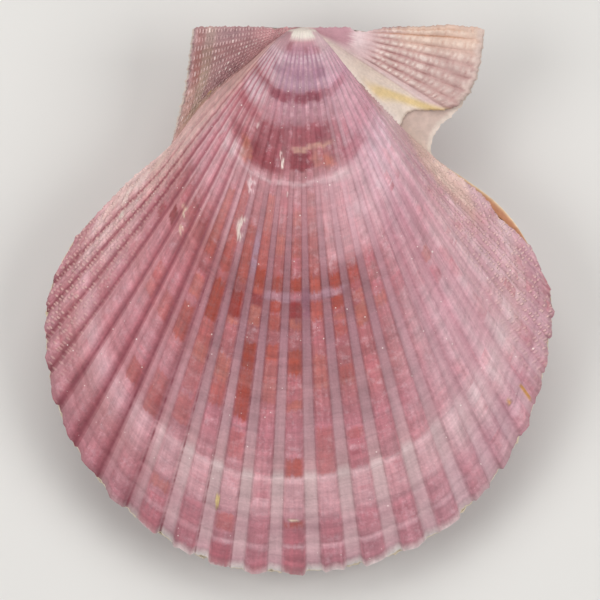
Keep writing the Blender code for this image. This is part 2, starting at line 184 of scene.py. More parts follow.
# Blocks of colour on one rib: from and to in mm of growth, colour, strength
RIB_BLOCKS = {
    -9: [(48.3, 50.6, WINE, 0.6)],
    -8: [(45.4, 47.7, WINE, 0.8)],
    -7: [(40.3, 44.2, WINE, 0.35), (53, 59, BRICK, 0.45)],
    -6: [(40.8, 44.6, WINE, 0.4), (55, 59.2, BRICK, 0.45), (68, 71.8, RUST, 0.6)],
    -5: [(33.5, 42, SALMON, 0.6), (42.4, 45, BRICK, 0.7), (46.6, 47.5, WINE, 0.45),
         (48.6, 51.8, SALMON, 0.7), (53.6, 59.3, BRICK, 0.75), (65.8, 69, BRICK, 0.5),
         (69, 73, RUST, 0.6)],
    -4: [(31, 41.3, BRICK, 0.5), (41.3, 45, RUST, 0.55), (46.7, 53.4, RUST, 0.95),
         (53.4, 57.3, BRICK, 0.55), (57.3, 60.2, SALMON, 0.7), (60.2, 65.2, BRICK, 0.35),
         (66.2, 70.8, BRICK, 0.5), (80.6, 82.4, SALMON, 0.6), (85.8, 89.3, ROSE, 0.7)],
    -3: [(36.8, 42.2, BRICK, 0.6), (42.6, 45.2, BRICK, 0.65), (46.8, 50.8, "#86200F", 1),
         (50.8, 51.7, SALMON, 0.8), (57, 61, SALMON, 0.75), (61, 64.9, BRICK, 0.6),
         (80.8, 88, ROSE, 0.4)],
    -2: [(31, 36.2, SALMON, 0.5), (36.2, 42, BRICK, 0.6), (42, 45, RUST, 0.95),
         (45, 46, BRICK, 0.7), (46, 47.9, WINE, 0.85), (47.9, 50.6, SALMON, 0.8),
         (53.4, 57.6, RUST, 0.9), (57.6, 60, BRICK, 0.75), (60, 65.2, RUST, 0.85),
         (67.2, 71.6, BRICK, 0.35), (80.9, 83.4, BRICK, 0.5), (85.4, 89.3, ROSE, 0.85)],
    -1: [(36.6, 39.6, SALMON, 0.55), (43, 45.1, RUST, 0.75), (46.9, 48.3, RUST, 0.7),
         (48.6, 51, BRICK, 0.7), (53.2, 55.6, BRICK, 0.8), (55.6, 62, SALMON, 0.4),
         (80.8, 88.5, ROSE, 0.3)],
    0: [(33, 35.2, SALMON, 0.4), (37.2, 39.8, BRICK, 0.35), (43, 45.2, RUST, 0.85),
        (45.2, 46.2, ROSE, 0.7), (46.2, 49.3, WINE, 0.95), (49.3, 50.8, SALMON, 0.8),
        (53.8, 57.6, BRICK, 0.95), (61.8, 63.3, SALMON, 0.7), (70.9, 73.7, BRICK, 0.8),
        (80.8, 81.8, RUST, 0.75), (81.8, 84.4, ROSE, 0.8), (85.3, 89.3, ROSE, 0.85)],
    1: [(30.5, 42, SALMON, 0.2), (43, 45.2, BRICK, 0.85), (46.8, 49.4, BRICK, 0.75),
        (55, 59.8, SALMON, 0.5), (66.3, 73.4, BRICK, 0.4), (80.9, 84, ROSE, 0.4)],
    2: [(43, 45.1, RUST, 0.85), (46.5, 48.3, RUST, 0.7), (49.2, 50.1, SALMON, 0.6),
        (50.6, 52.4, BRICK, 0.6), (57.4, 59.6, BRICK, 0.45), (67.4, 68.6, BRICK, 0.35),
        (70.6, 73.4, ROSE, 0.55)],
    3: [(43, 45.2, RUST, 0.6), (46.8, 48, SALMON, 0.4), (48.8, 51.8, SALMON, 0.75),
        (66.3, 70, ROSE, 0.25)],
    4: [(43, 44.2, ROSE, 0.35), (49, 50.7, SALMON, 0.55), (69.5, 73, ROSE, 0.3)],
    5: [(48.4, 51.2, ROSE, 0.45)],
    7: [(50, 52.2, SALMON, 0.55)],
}

# Soft patches: where they lie (1 for ribs, -1 for the spaces, 0 for both), first and last rib,
# from and to in mm of growth, colour, strength, and how soft the edge is in ribs and in mm
PATCHES = [
    (0, -14, -11.2, 34, 54, "#EDD6CC", 0.85, 1, 5), (0, -14, -10.4, 8, 56, "#E4BCB4", 0.9, 1.6, 5),
    (-1, -10, -3.6, 18, 42, "#D2A6AC", 0.4, 2, 5), (0, -14, -6.4, 24, 44, "#DDB8BC", 0.22, 2, 6),
    (0, -14, -6.8, 44, 63, "#D6A8AC", 0.28, 2.2, 6), (0, -14, -7.2, 63, 95, "#CFA2A6", 0.22, 2.2, 6),
    (0, 8.2, 14.5, 32, 62, "#DABCC0", 0.45, 2.4, 10), (0, 7.6, 13.2, 50, 79, "#D8C0C0", 0.28, 1.8, 8),
    (0, -13, -9.6, 57, 71, "#DFB8B8", 0.6, 1.6, 6), (0, -14, -12.1, 50, 74, "#E0CABC", 0.6, 0.5, 4),
    (0, -13.2, -10.9, 55, 77, "#E8CECA", 0.55, 1, 6), (0, -9.6, -7.2, 80, 85, "#A2626A", 0.32, 1.4, 2),
    (1, -10, -3.8, 21, 50, "#9C545C", 0.14, 2, 5), (1, -9.4, -4.4, 38.2, 43, "#944248", 0.34, 1.4, 2.4),
    (-1, -10, -4, 20.5, 27, "#DAB2B6", 0.3, 1.5, 2), (-1, 3.4, 11.5, 14, 38, "#DABEC6", 0.25, 1.5, 4),
    (-1, 4, 11.5, 79, 95, "#E0CCD0", 0.28, 2, 3), (0, 11.4, 14.5, 44, 64, "#E0C6AE", 0.6, 0.9, 6),
    (0, -4.9, 5.2, -1, 5.3, "#F2E8DC", 1, 1.4, 1.6), (0, -14, 14.5, -1, 3.6, "#F0E4D6", 0.9, 0.5, 1.2),
    (0, -4.6, -2.8, 6, 7.9, "#9B5A63", 0.6, 0.9, 0.9), (0, 0.7, 1.9, 6.8, 8.2, "#A3646E", 0.5, 0.7, 0.8),
    (0, 3.3, 5.3, 7.1, 8.5, "#A0606B", 0.55, 0.9, 0.8),
    (0, -11, -4.4, 8.6, 14.4, "#D8C2CA", 0.42, 2, 1.2), (0, 4.6, 11, 9, 14.6, "#D2B8C2", 0.3, 2, 1.2),
    (0, -3.6, 3.8, 6.8, 14, "#966874", 0.22, 2, 1), (-1, -13, 13, 8.6, 11, "#B092A4", 0.2, 1, 0.5),
    (1, -8, 8, 8.7, 9, "#E2D2D8", 0.45, 1, 0.25), (1, -8, 8, 9.5, 9.8, "#E2D2D8", 0.45, 1, 0.25),
    (0, -6.2, -3.7, 10.9, 12.5, "#8E6478", 0.55, 0.8, 0.7),
    (0, -1.2, 0.8, 10.9, 12.7, "#8E6478", 0.5, 0.8, 0.7),
    (0, 2.4, 4.7, 11.1, 12.9, "#906478", 0.55, 0.8, 0.7),
    # Dark wine arc at 14.7 to 16.6 mm of growth: partly the shell's own colour, partly painted shadow
    # under a step
    (0, -8, 8, 14.8, 16.3, "#94535F", 0.5, 2.5, 0.7),
    (0, -7.8, -4.2, 14.7, 16.1, "#8C4A56", 0.55, 1, 0.5),
    (0, -4.4, -1.6, 14.8, 16.5, "#843C49", 0.75, 0.6, 0.5),
    (0, -0.8, 3.1, 15, 16.6, "#843C49", 0.75, 0.6, 0.5),
    (0, -9.6, -5.2, 15.6, 19.4, "#E0CCD2", 0.66, 2.6, 2.4),
    (0, -4.5, 4.5, 16.5, 19.8, "#C89CA6", 0.2, 2, 0.9),
    (0, -9.4, -5.2, 20, 21.8, "#A8525E", 0.55, 1.4, 0.9),
    (0, -4.8, -1.6, 20.4, 27.5, "#8E434C", 0.75, 0.7, 1.3),
    (0, -4.6, -2.2, 24.1, 27.4, "#82343C", 0.8, 0.8, 1),
    (0, -7.6, -4.6, 24, 27.1, "#98464F", 0.6, 1.2, 1.2),
    (0, -5.8, -4.6, 25, 28.4, "#C07458", 0.6, 0.5, 0.9),
    (0, -0.9, 2.2, 20, 23.2, "#94464F", 0.65, 0.7, 0.9),
    (0, -0.8, 1.3, 24.1, 26.8, "#7A2A34", 0.92, 0.4, 0.6),
    (0, 1.4, 2.8, 20.6, 22.7, "#883E4A", 0.55, 0.4, 0.6),
    (0, 1.4, 2.1, 24.2, 26.9, "#B87464", 0.5, 0.6, 1.2), (0, 2.3, 3, 25, 27.2, "#C0705A", 0.6, 0.6, 1.4),
    (0, 3.8, 6.4, 24.8, 27.4, "#A04C5C", 0.5, 1, 1.2),
    (0, -0.6, 3.2, 23.2, 23.9, "#D8AE94", 0.42, 1, 0.5),
    (0, -8.2, -5.4, 26.8, 29.8, "#E2CED0", 0.55, 1.8, 1.8),
    (0, -7.4, 5.8, 28.5, 29.2, "#DDC2C6", 0.4, 1.6, 0.5),
    (0, 2.7, 4.4, 28.2, 29.8, "#EBDCDA", 0.5, 1.4, 1.2),
    (0, 3.9, 4.7, 33.4, 36.2, "#E8D6DC", 0.55, 1.2, 2.2), (0, 1.6, 5.6, 28, 41.5, "#CFA2AA", 0.6, 2, 3),
    (0, -1.6, 2.4, 45.2, 46.6, "#B894A4", 0.42, 0.5, 0.6),
    (-1, 0.2, 0.8, 44.5, 49, "#845060", 0.75, 0.2, 1), (-1, -2.9, -2.3, 37, 43, "#B096AE", 0.35, 0.2, 3),
]

# Pale crust left by small animals: rib number, growth, half width and half length in mm, how far
# one side is hollowed, colour
CRUSTS = [
    (-3.68, 37.6, 0.72, 1.7, 0.75, "#DACAC0"), (-3.72, 30.9, 0.8, 0.95, 0.75, "#DABFC0"),
    (-1.72, 24.6, 0.24, 0.55, 0.5, "#D8B8B4"), (-0.78, 30.3, 0.1, 0.4, 0, "#D8C0BC"),
    (-7.45, 43.8, 0.85, 0.75, 0.7, "#D9C2AC"), (-7, 46.2, 0.7, 0.6, 0.6, "#CFB09C"),
    (-11.7, 63.4, 0.9, 0.8, 0, "#EDE3D8"), (-2.31, 79.2, 0.35, 1.15, 0, "#DFC489"),
    (7.6, 86, 0.3, 2, 0, "#C79A55"), (6.9, 83, 0.2, 0.6, 0, "#C0915A"),
    (-4.75, 21.9, 0.2, 0.5, 0.3, "#DCC4C0"), (-1.45, 25.9, 0.26, 0.8, 0.4, "#DCC8C0"),
    (0, 80.6, 0.6, 0.12, 0, "#E3CDB4"),
]


def through(knots, values, at):
    """Read a smooth curve through a few values, its slopes taken from their neighbours."""
    knots, values = np.asarray(knots, float), np.asarray(values, float)
    slopes = np.gradient(values, knots)
    i = np.clip(np.searchsorted(knots, at) - 1, 0, len(knots) - 2)
    step = knots[i + 1] - knots[i]
    t = (at - knots[i]) / step
    near = (2 * t**3 - 3 * t**2 + 1) * values[i] + (t**3 - 2 * t**2 + t) * step * slopes[i]
    far = (3 * t**2 - 2 * t**3) * values[i + 1] + (t**3 - t**2) * step * slopes[i + 1]
    return near + far


def reaches(points):
    """Distances along an outline to each of its points."""
    steps = np.diff(np.array(points), axis=0)
    return np.concatenate([[0.0], np.cumsum(np.hypot(steps[:, 0], steps[:, 1]))])


def along(points, share):
    """Points at these shares of the length of a smooth outline."""
    points, reach = np.array(points), reaches(points)
    at = np.asarray(share) * reach[-1]
    return np.stack([through(reach, points[:, 0], at), through(reach, points[:, 1], at)], axis=-1)


def ease(low, high, value):
    """Smooth step from 0 at low to 1 at high."""
    t = np.clip((value - low) / (high - low), 0.0, 1.0)
    return t * t * (3 - 2 * t)


def ripple(seed, periods, value):
    """Uneven ripple of about unit height, from waves of these periods with random phases."""
    rng = np.random.default_rng(seed)
    waves = [np.sin(2 * np.pi * (value / p + rng.random())) for p in periods]
    return sum(waves) / len(waves) ** 0.5


def ring_sizes():
    """Sizes of the growth rings, a little closer together near the umbo."""
    start = FIRST_SIZE ** (1 / ROW_POWER)
    return np.linspace(start, 1.0, ROWS + 1) ** ROW_POWER


def rib_columns():
    """Rib numbers of the grid's columns, which stand closest where a rib's walls are."""
    columns = [FIRST_RIB, LAST_RIB]
    for rib in range(round(FIRST_RIB), round(LAST_RIB) + 1):
        offsets = RIB_OFFSETS if abs(rib) <= FINE_RIBS_FROM else FINE_RIB_OFFSETS
        columns += [rib + offset for offset in offsets]
    columns = sorted(c for c in columns if FIRST_RIB <= c <= LAST_RIB)
    return np.array([columns[0]] + [b for a, b in zip(columns, columns[1:]) if b - a > LEAST_COLUMN])


def rib_profile(number, size):
    """1 on a crest and 0 between ribs: flat-topped, but rounded when young and towards the sides."""
    off = np.abs(number - np.round(number))
    flat = ease(FOOT_HALF, CREST_HALF, off)
    round_rib = 0.5 + 0.5 * np.cos(2 * np.pi * off)
    share = np.maximum(ease(*ROUND_RIBS, np.abs(number)), ease(*YOUNG_SIZES[::-1], size))
    return flat * (1 - share) + round_rib * share


def normals(points):
    """Upward normals of a grid of points."""
    across = np.gradient(points, axis=0)
    outward = np.gradient(points, axis=1)
    normal = np.cross(outward, across)
    normal /= np.maximum(np.linalg.norm(normal, axis=-1, keepdims=True), 1e-9)
    return np.where(normal[..., 2:] < 0, -normal, normal)


def inner_face(down):
    """Height of a valve's inner face where the two valves meet."""
    return GAP / 2 + HINGE_SLOT * np.exp(-(down / HINGE_SLOT_REACH) ** 2)


# ------------------------------------------------------------------ colour in the vertices


def linear(code):
    """Linear colour of an sRGB hex code."""
    channels = [int(code[i:i + 2], 16) / 255 for i in (1, 3, 5)]
    return (*[c / 12.92 if c <= 0.04045 else ((c + 0.055) / 1.055) ** 2.4 for c in channels], 1.0)


class Paint:
    """A layer of colour over a grid of points, laid on in coats."""

    def __init__(self, shape, coats=()):
        self.rgb, self.alpha = np.zeros((*shape, 3)), np.zeros(shape)
        for code, weight in coats:
            self.coat(code, weight)

    def coat(self, code, weight):
        alpha = self.alpha + weight - self.alpha * weight
        mixed = self.rgb * (self.alpha * (1 - weight))[..., None]
        mixed = mixed + np.array(linear(code)[:3]) * weight[..., None]
        self.rgb = mixed / np.maximum(alpha, 1e-6)[..., None]
        self.alpha = alpha

    def rgba(self):
        return np.concatenate([self.rgb, self.alpha[..., None]], axis=-1)


def between(low, high, soft, value):
    """1 between two limits, falling to 0 over a soft edge centred on each."""
    return ease(low - soft / 2, low + soft / 2, value) * ease(high + soft / 2, high - soft / 2, value)


def soft_patches(rib, growth):
    """Coat of the patches that run over ribs and spaces, with uneven edges."""
    paint = Paint(np.broadcast(rib, growth).shape)
    off = np.abs(rib - np.round(rib))
    shifted = rib + 0.20 * ripple(31, (1.3, 3.1, 5.3), growth)
    uneven = 0.25 * ripple(37, (2.3, 4.1, 7.7), rib) + 0.12 * ripple(39, (0.9, 1.7), rib + growth)
    grown = growth + uneven * ease(3.0, 20.0, growth)
    for where, first, last, start, end, code, strength, soft_rib, soft_growth in PATCHES:
        weight = between(first, last, soft_rib, shifted) * between(start, end, soft_growth, grown)
        if where:
            weight = weight * ease(*(RIB_EDGE if where > 0 else RIB_EDGE[::-1]), off)
        paint.coat(code, strength * weight)
    return paint


def rib_blocks(rib, growth, blocks):
    """Colour and strength of the nearest block of each rib, and the depth in mm inside it."""
    shape = np.broadcast(rib, growth).shape
    colour, depth = np.zeros((*shape, 4)), np.full(shape, NO_BLOCK)
    number = np.broadcast_to(np.round(rib), shape)
    growth = np.broadcast_to(growth, shape)
    for at, marks in blocks.items():
        for start, end, code, strength in marks:
            inside = np.minimum(growth - start, end - growth)
            nearer = (number == at) & (inside > depth)
            colour[nearer] = (*linear(code)[:3], strength)
            depth[nearer] = inside[nearer]
    return colour, depth


def random_blocks(seed, start, end):
    """Blocks for the lower valve, in the same kinds and lengths as on the upper one."""
    rng = np.random.default_rng(seed)
    blocks = {}
    for rib in range(-9, 10):
        marks, at = [], start + rng.random() * 6
        while at < end:
            length = 1.2 + rng.random() * 5
            code = (RUST, BRICK, SALMON, WINE, ROSE)[rng.choice(5, p=(0.2, 0.3, 0.25, 0.1, 0.15))]
            marks.append((at, at + length, code, 0.35 + 0.55 * rng.random()))
            at += length + rng.random() * 9
        blocks[rib] = marks
    return blocks


# ------------------------------------------------------------------ shape of a valve


# What a mesh carries for its looks
NUMBERS = ("rib", "growth", "depth", "crest", "rim", "radius")
COLOURS = ("block", "patch")


class Sheet:
    """A grid of outer and inner points with the values that its material reads."""

    def __init__(self, outer, inner, material, **marks):
        self.outer, self.inner, self.material = outer, inner, material
        shape = outer.shape[:2]
        marks = {"depth": NO_BLOCK, "radius": np.hypot(outer[..., 0], outer[..., 1]), **marks}
        self.marks = {name: np.broadcast_to(marks[name], shape) for name in NUMBERS}
        self.marks.update({name: marks.get(name, np.zeros((*shape, 4))) for name in COLOURS})


class Valve:
    """One valve, worked out with its outer side up."""

    def __init__(self, upper):
        self.upper = upper
        self.coil = RIGHT_COIL if upper else LEFT_COIL
        self.left_edge = np.array(LEFT_EDGE)
        self.left_ear = np.array(LEFT_EAR)
        self.right_edge = np.array(RIGHT_EDGE if upper else LOWER_RIGHT_EDGE)
        self.right_ear = np.array(NOTCHED_EAR if upper else LOWER_RIGHT_EAR)
        self.right_joint = NOTCH if upper else RIGHT_SINUS
        if not upper:
            self.left_ear[1:, 0] += LOWER_SPREAD
        self.growth = ring_sizes()
        self.left_row = int(np.argmin(np.abs(self.growth - SINUS_SIZE)))
        self.right_row = int(np.argmin(np.abs(self.growth - (NOTCH_SIZE if upper else SINUS_SIZE))))
        self.ribs = rib_columns()

    def margin(self, angle):
        """Distance from the umbo to the margin, by the direction in degrees."""
        degrees, reach = np.array(MARGIN).T
        result = through(degrees, reach, angle)
        if not self.upper:
            result = result + LOWER_SPREAD
        return result

    def side_edge(self, edge, joint, row):
        """Points of a side edge for each ring, and how far each is along it, 1 at the ear's end."""
        reach = reaches(edge)
        at_joint = reach[joint] / reach[-1]
        share = np.interp(self.growth, [0.0, self.growth[row], 1.0], [0.0, at_joint, 1.0])
        return along(edge, share), share / at_joint

    def disc(self):
        """The ribbed fan between the two side edges."""
        rib, size = self.ribs[:, None], self.growth[None, :]
        way = through(*np.array(RIB_WAYS).T, rib)
        reach = self.margin(way)
        young = 1 - size
        angle = way * (1 - YOUNG_FAN_CLOSED * young) - YOUNG_FAN_TURN * young
        turn = -np.log(size) / self.coil
        profile = rib_profile(rib, size)
        height = 1.0 if self.upper else -LOWER_TEETH
        longer = 1 + (SIDE_TEETH - 1) * ease(*SIDE_RIBS, np.abs(rib))
        teeth = RIM_TEETH * height * (profile - 0.5) * longer
        teeth = teeth + RIM_CHIPS * ripple(3 + self.upper, (0.19, 0.31, 0.57, 1.7), rib)
        rim = size * reach + teeth * ease(RIM_SIZE, 1.0, size)
        across = rim * np.sin(np.radians(angle)) + UMBO_HALF * rib / LAST_RIB * young
        straight = rim * np.cos(np.radians(angle))
        down = straight * np.cos(turn)
        left, _ = self.side_edge(self.left_edge, LEFT_SINUS, self.left_row)
        right, _ = self.side_edge(self.right_edge, self.right_joint, self.right_row)
        chips = SIDE_CHIPS * ripple(61, (1.3, 1.9, 3.1), self.growth * HEIGHT) * self.upper
        chips = chips * ease(*SHOULDER_SIZES, self.growth)
        left[:, 0] -= chips
        right[:, 0] += chips
        plan = np.stack([across, down], axis=-1)
        for edge, column, distance in ((left, 0, rib - FIRST_RIB), (right, -1, LAST_RIB - rib)):
            share = np.clip(1 - distance / SIDE_BEND_REACH, 0.0, 1.0) ** 2
            plan = plan + share[..., None] * (edge - plan[column])[None]
        to_side = np.minimum(rib - FIRST_RIB, LAST_RIB - rib)
        roll = ROLL_NEAR_UMBO + (ROLL_AT_SHOULDER - ROLL_NEAR_UMBO) * ease(*ROLL_SIZES, size)
        fall = 1 - (1 - np.clip(to_side / roll, 0.0, 1.0)) ** 2
        rise = GAP / 2 + LIP + straight * np.sin(turn) * fall
        base = np.concatenate([plan, rise[..., None]], axis=-1)
        normal = normals(base)
        spacing = size * reach * np.radians(np.gradient(way[:, 0], self.ribs))[:, None]
        smooth_side = 1 + SMOOTH_SIDE * (1 - ease(*ADULT_SIZES, size))
        ribbed = np.clip(to_side / smooth_side, 0.0, 1.0) * ease(*FIRST_SIZES, size)
        high = RIB_HEIGHT + (YOUNG_RIB_HEIGHT - RIB_HEIGHT) * ease(*YOUNG_SIZES[::-1], size)
        coarse = (profile - 0.5) * high * spacing * ribbed
        coarse = coarse if self.upper else -coarse
        growth = size * HEIGHT
        fine = self.fine_relief(rib, size, growth, to_side)
        outer = base + normal * (coarse + fine)[..., None]
        wall = LIP + (WALL - LIP) * (1 - ease(THINNING_SIZE, 1.0, size))
        wall = wall + HINGE_WALL * np.exp(-size / HINGE_WALL_REACH)
        inner = base.copy()
        inner[..., 2] = np.maximum(base[..., 2] - wall / normal[..., 2], inner_face(plan[..., 1]))
        at_rim = np.where(size == 1.0, GAP / 2, inner[..., 2])
        inner[..., 2] = at_rim + coarse * ease(INNER_RIBS_FROM, 1.0, size)
        outer[..., 2] -= RIM_BEVEL * ease(BEVEL_SIZE, 1.0, size)
        blocks = RIB_BLOCKS if self.upper else random_blocks(5, 30, 88)
        block, depth = rib_blocks(rib, growth, blocks)
        patch = soft_patches(rib, growth)
        for at, grown, half, half_long, hollow, code in CRUSTS if self.upper else ():
            u = (rib - at) * spacing / half
            v = (growth - grown) / half_long
            v = v + 0.25 * ripple(53, (0.7, 1.9), u)
            hole = np.hypot(u - 0.6, v) < 0.9 * hollow
            crust = np.where(hole, 0.0, ease(1.25, 0.85, np.hypot(u, v)))
            patch.coat(code, crust)
            block[..., 3] *= 1 - crust
        joined = np.where((rib > 0) & self.upper, NOTCH_SIZE, SINUS_SIZE)
        free_side = to_side * spacing + SIDE_BEND_REACH * ease(joined + 0.02, joined, size)
        rim = np.minimum((1 - size) * reach, free_side)
        return Sheet(outer, inner, "disc", rib=rib, growth=growth, crest=ribbed, rim=rim, block=block,
                     depth=depth, patch=patch.rgba())

    def fine_relief(self, rib, size, growth, to_side):
        """Riblets on the side ribs and the unevenness of growth, in millimetres."""
        sides = ease(*RIBLET_RIBS, np.abs(rib)) * ease(*ADULT_SIZES, size)
        riblets = RIBLET_HEIGHT * np.cos(2 * np.pi * RIBLETS * rib) * sides
        wavy = growth + 0.25 * ripple(5, (2.3, 5.1), rib)
        uneven = GROWTH_RELIEF * ripple(11, (1.9, 3.1, 4.7, 7.3), wavy)
        stops = -STOP_DEPTH * sum(np.exp(-((growth - at) / STOP_HALF) ** 2) for at in GROWTH_STOPS)
        return (riblets + (uneven + stops) * ease(0.08, 0.2, size)) * np.clip(to_side, 0.0, 1.0)

    def ear(self, outline, edge, joint, row, front):
        """A thin plate between the side edge and the hinge, from the umbo out to its outline."""
        suture, size = self.side_edge(edge, joint, row)
        suture, size = suture[:row + 1], size[None, :row + 1]
        share = np.linspace(0.0, 1.0, EAR_COLUMNS + 1)[:, None]
        free_edge = along(outline, share[:, 0])[:, None, :]
        hinge, reach = (FRONT_HINGE, FRONT_EAR_REACH) if front else (BACK_HINGE, BACK_EAR_REACH)
        chips = EAR_CHIPS / reach * ripple(19, (0.031, 0.053, 0.11), share)
        chips = chips * np.sin(np.pi * share) ** 0.5
        plan = (size * (1 + chips * ease(0.94, 1.0, size)))[..., None] * free_edge
        bend = suture[None] - size[..., None] * free_edge[0]
        plan = plan + (1 - share[..., None]) ** 2 * bend
        teeth = HINGE_TEETH * ripple(17, (0.55, 0.8, 1.3, 2.1), size * reach)
        lowered = np.interp(np.abs(plan[-1, :, 0]), *np.array(hinge).T) + teeth[0]
        plan[..., 1] += lowered[None] * ease(0.86, 1.0, share) * ease(0.02, 0.1, size)
        notched = front and self.upper
        relief, crest, patch = (self.notched_ear if notched else self.beaded_ear)(share, size)
        arch = EAR_ARCH * size * np.sin(np.pi * share / 2)
        height = GAP / 2 + LIP + arch + relief * ease(0.05, 0.3, size)
        outer = np.concatenate([plan, height[..., None]], axis=-1)
        outer[..., 2] -= RIM_BEVEL * ease(EAR_BEVEL_SIZE, 1.0, size)
        inner = outer.copy()
        inner[..., 2] = inner_face(plan[..., 1])
        material = "ribbed_ear" if notched else "beaded_ear"
        return Sheet(outer, inner, material, rib=share, growth=size * reach, crest=crest,
                     rim=(1 - size) * reach, patch=patch)

    def beaded_ear(self, share, size):
        """Rows of low riblets that fan out from the umbo over a thin plate."""
        crest = 0.5 - 0.5 * np.cos(2 * np.pi * BACK_EAR_ROWS * share)
        crest = crest * between(0.09, 1.0, 0.06, share)
        relief = EAR_BEAD_RELIEF * (crest - 0.5) + 0.05 * ripple(23, (0.021, 0.043, 0.11), size)
        wave = 0.02 * ripple(41, (0.11, 0.23), size)
        paint = Paint(np.broadcast(share, size).shape, [
            ("#D2A8A2", 0.90 * ease(0.17, 0.07, share + wave) * ease(0.03, 0.2, size)),
            ("#CE9A9C", 0.85 * ease(0.50, 0.26, size + wave)),
            ("#A48488", 0.40 * between(0.80, 0.97, 0.08, share) * between(0.50, 0.95, 0.2, size)),
            ("#8A5450", 0.34 * between(0.58, 0.84, 0.14, share) * between(0.55, 0.97, 0.2, size)),
            ("#C8A498", 0.62 * between(0.10, 0.46, 0.14, share) * ease(0.84, 0.94, size + wave)),
            ("#A08C6C", 0.50 * between(0.02, 0.16, 0.1, share) * between(0.62, 0.95, 0.2, size)),
            ("#D8B45C", 0.90 * between(0.155, 0.185, 0.02, share) * between(0.685, 0.715, 0.02, size)),
            ("#C8A0A2", 0.40 * ease(0.965, 0.99, share) * ease(0.02, 0.2, size))])
        return relief, crest, paint.rgba()

    def notched_ear(self, share, size):
        """A hollow cream fasciole by the disc, a smooth fold, then ribs cut into blocks by cords."""
        edge = 0.38 - 0.10 * size
        hollow = -HOLLOW_DEPTH * np.sin(np.pi * np.clip(share / edge, 0.0, 1.0)) * size
        fold = FOLD_HEIGHT * np.exp(-((share - edge - 0.035) / 0.03) ** 2) * size
        fan = np.clip((share - edge - 0.08) / (0.92 - edge), 0.0, 1.0)
        ribs = np.sin(np.pi * (FRONT_EAR_RIBS * fan) % np.pi) ** 0.55 * (fan > 0)
        grown = size * FRONT_EAR_REACH + 0.35 * ripple(43, (0.13, 0.29, 0.6), share)
        grown = grown + 0.22 * ripple(59, (1.9, 3.1, 4.7), grown)
        cords = np.abs(np.sin(np.pi * grown / CORD_PITCH)) ** 0.5
        ribbed = ease(0.33, 0.46, size) * ease(1.0, 0.955, size)
        crest = ribbed * ribs * (0.30 + 0.70 * cords)
        uneven = 0.04 * ripple(29, (0.05, 0.13), size) * ease(edge, edge + 0.15, share)
        relief = hollow + fold + EAR_RIB_HEIGHT * crest + uneven
        wave = 0.012 * ripple(47, (0.05, 0.09, 0.21), share)
        lower_ribs = between(edge + 0.06, 0.78, 0.25, share) * ease(0.60, 0.85, size)
        tan = between(0.895, 0.915, 0.02, share + wave) + between(0.965, 0.98, 0.015, share + wave)
        streak = np.abs(share - 0.05 - 0.75 * np.maximum(size - 0.68, -0.05))
        paint = Paint(np.broadcast(share, size).shape, [
            ("#D6BCBC", 0.80 * ease(0.50, 0.34, size + wave)),
            ("#DCC8C8", 0.60 * between(0.27, 0.34, 0.06, size + wave) * ease(0.45, 0.7, share)),
            ("#B07C88", 0.80 * ease(0.31, 0.24, size + wave) * ease(0.40, 0.60, share)),
            ("#DEC2AC", 0.60 * ease(0.66, 0.92, share) * ease(0.46, 0.62, size)),
            ("#B4948E", 0.55 * lower_ribs),
            ("#DCC6BC", 0.70 * ease(0.955, 0.98, size + wave) * ease(0.4, 0.5, share)),
            ("#AC7858", 0.75 * tan * between(0.40, 0.9, 0.15, size)),
            ("#CCB2AE", 0.85 * between(edge - 0.01, edge + 0.085, 0.05, share)),
            ("#DCCAC6", 0.70 * between(edge + 0.01, edge + 0.035, 0.03, share + 0.5 * wave)),
            ("#DCCDBE", 1.0 * ease(edge + 0.02, edge - 0.03, share + 0.4 * wave)),
            ("#D8BE7E", 0.80 * ease(0.13, 0.02, streak) * ease(0.50, 0.75, size)),
            ("#E2D6CC", 0.8 * ease(0.06, 0.0, share)),
            ("#DECDC8", 0.6 * ease(0.45, 0.25, size) * ease(edge + 0.05, edge - 0.05, share))])
        return relief, crest, paint.rgba()

    def sheets(self):
        return [
            self.disc(),
            self.ear(self.left_ear, self.left_edge, LEFT_SINUS, self.left_row, False),
            self.ear(self.right_ear, self.right_edge, self.right_joint, self.right_row, True)]


SURFACES = ("disc", "beaded_ear", "ribbed_ear", "inside", "ear_inside")


def add_sheet(bm, sheet, layers):
    """Bend a flat grid into a sheet that runs from the umbo's tip out to the margin."""
    columns = len(sheet.outer)
    tip_out, tip_in = (0.0, 0.0, GAP / 2 + LIP), (0.0, 0.0, inner_face(0.0))
    outer = np.concatenate([np.broadcast_to(tip_out, (columns, 1, 3)), sheet.outer], axis=1)
    inner = np.concatenate([np.broadcast_to(tip_in, (columns, 1, 3)), sheet.inner], axis=1)
    marks = {
        name: np.concatenate([values[:, :1], values], axis=1)
        for name, values in sheet.marks.items()}
    rows = outer.shape[1]
    grid = bmesh.ops.create_grid(bm, x_segments=columns - 1, y_segments=rows - 1, size=0.5)
    for vert in grid["verts"]:
        i = round((vert.co.x + 0.5) * (columns - 1))
        j = round((vert.co.y + 0.5) * (rows - 1))
        vert.co = outer[i, j]
        vert[layers["inner"]] = inner[i, j]
        vert[layers["row"]] = j
        for name, values in marks.items():
            vert[layers[name]] = values[i, j]
    for face in {face for vert in grid["verts"] for face in vert.link_faces}:
        face.material_index = SURFACES.index(sheet.material)


def extrude(bm):
    """Double an open sheet into a closed one, and return the new side's vertices."""
    doubled = bmesh.ops.extrude_face_region(bm, geom=bm.faces)["geom"]
    return {element for element in doubled if isinstance(element, bmesh.types.BMVert)}


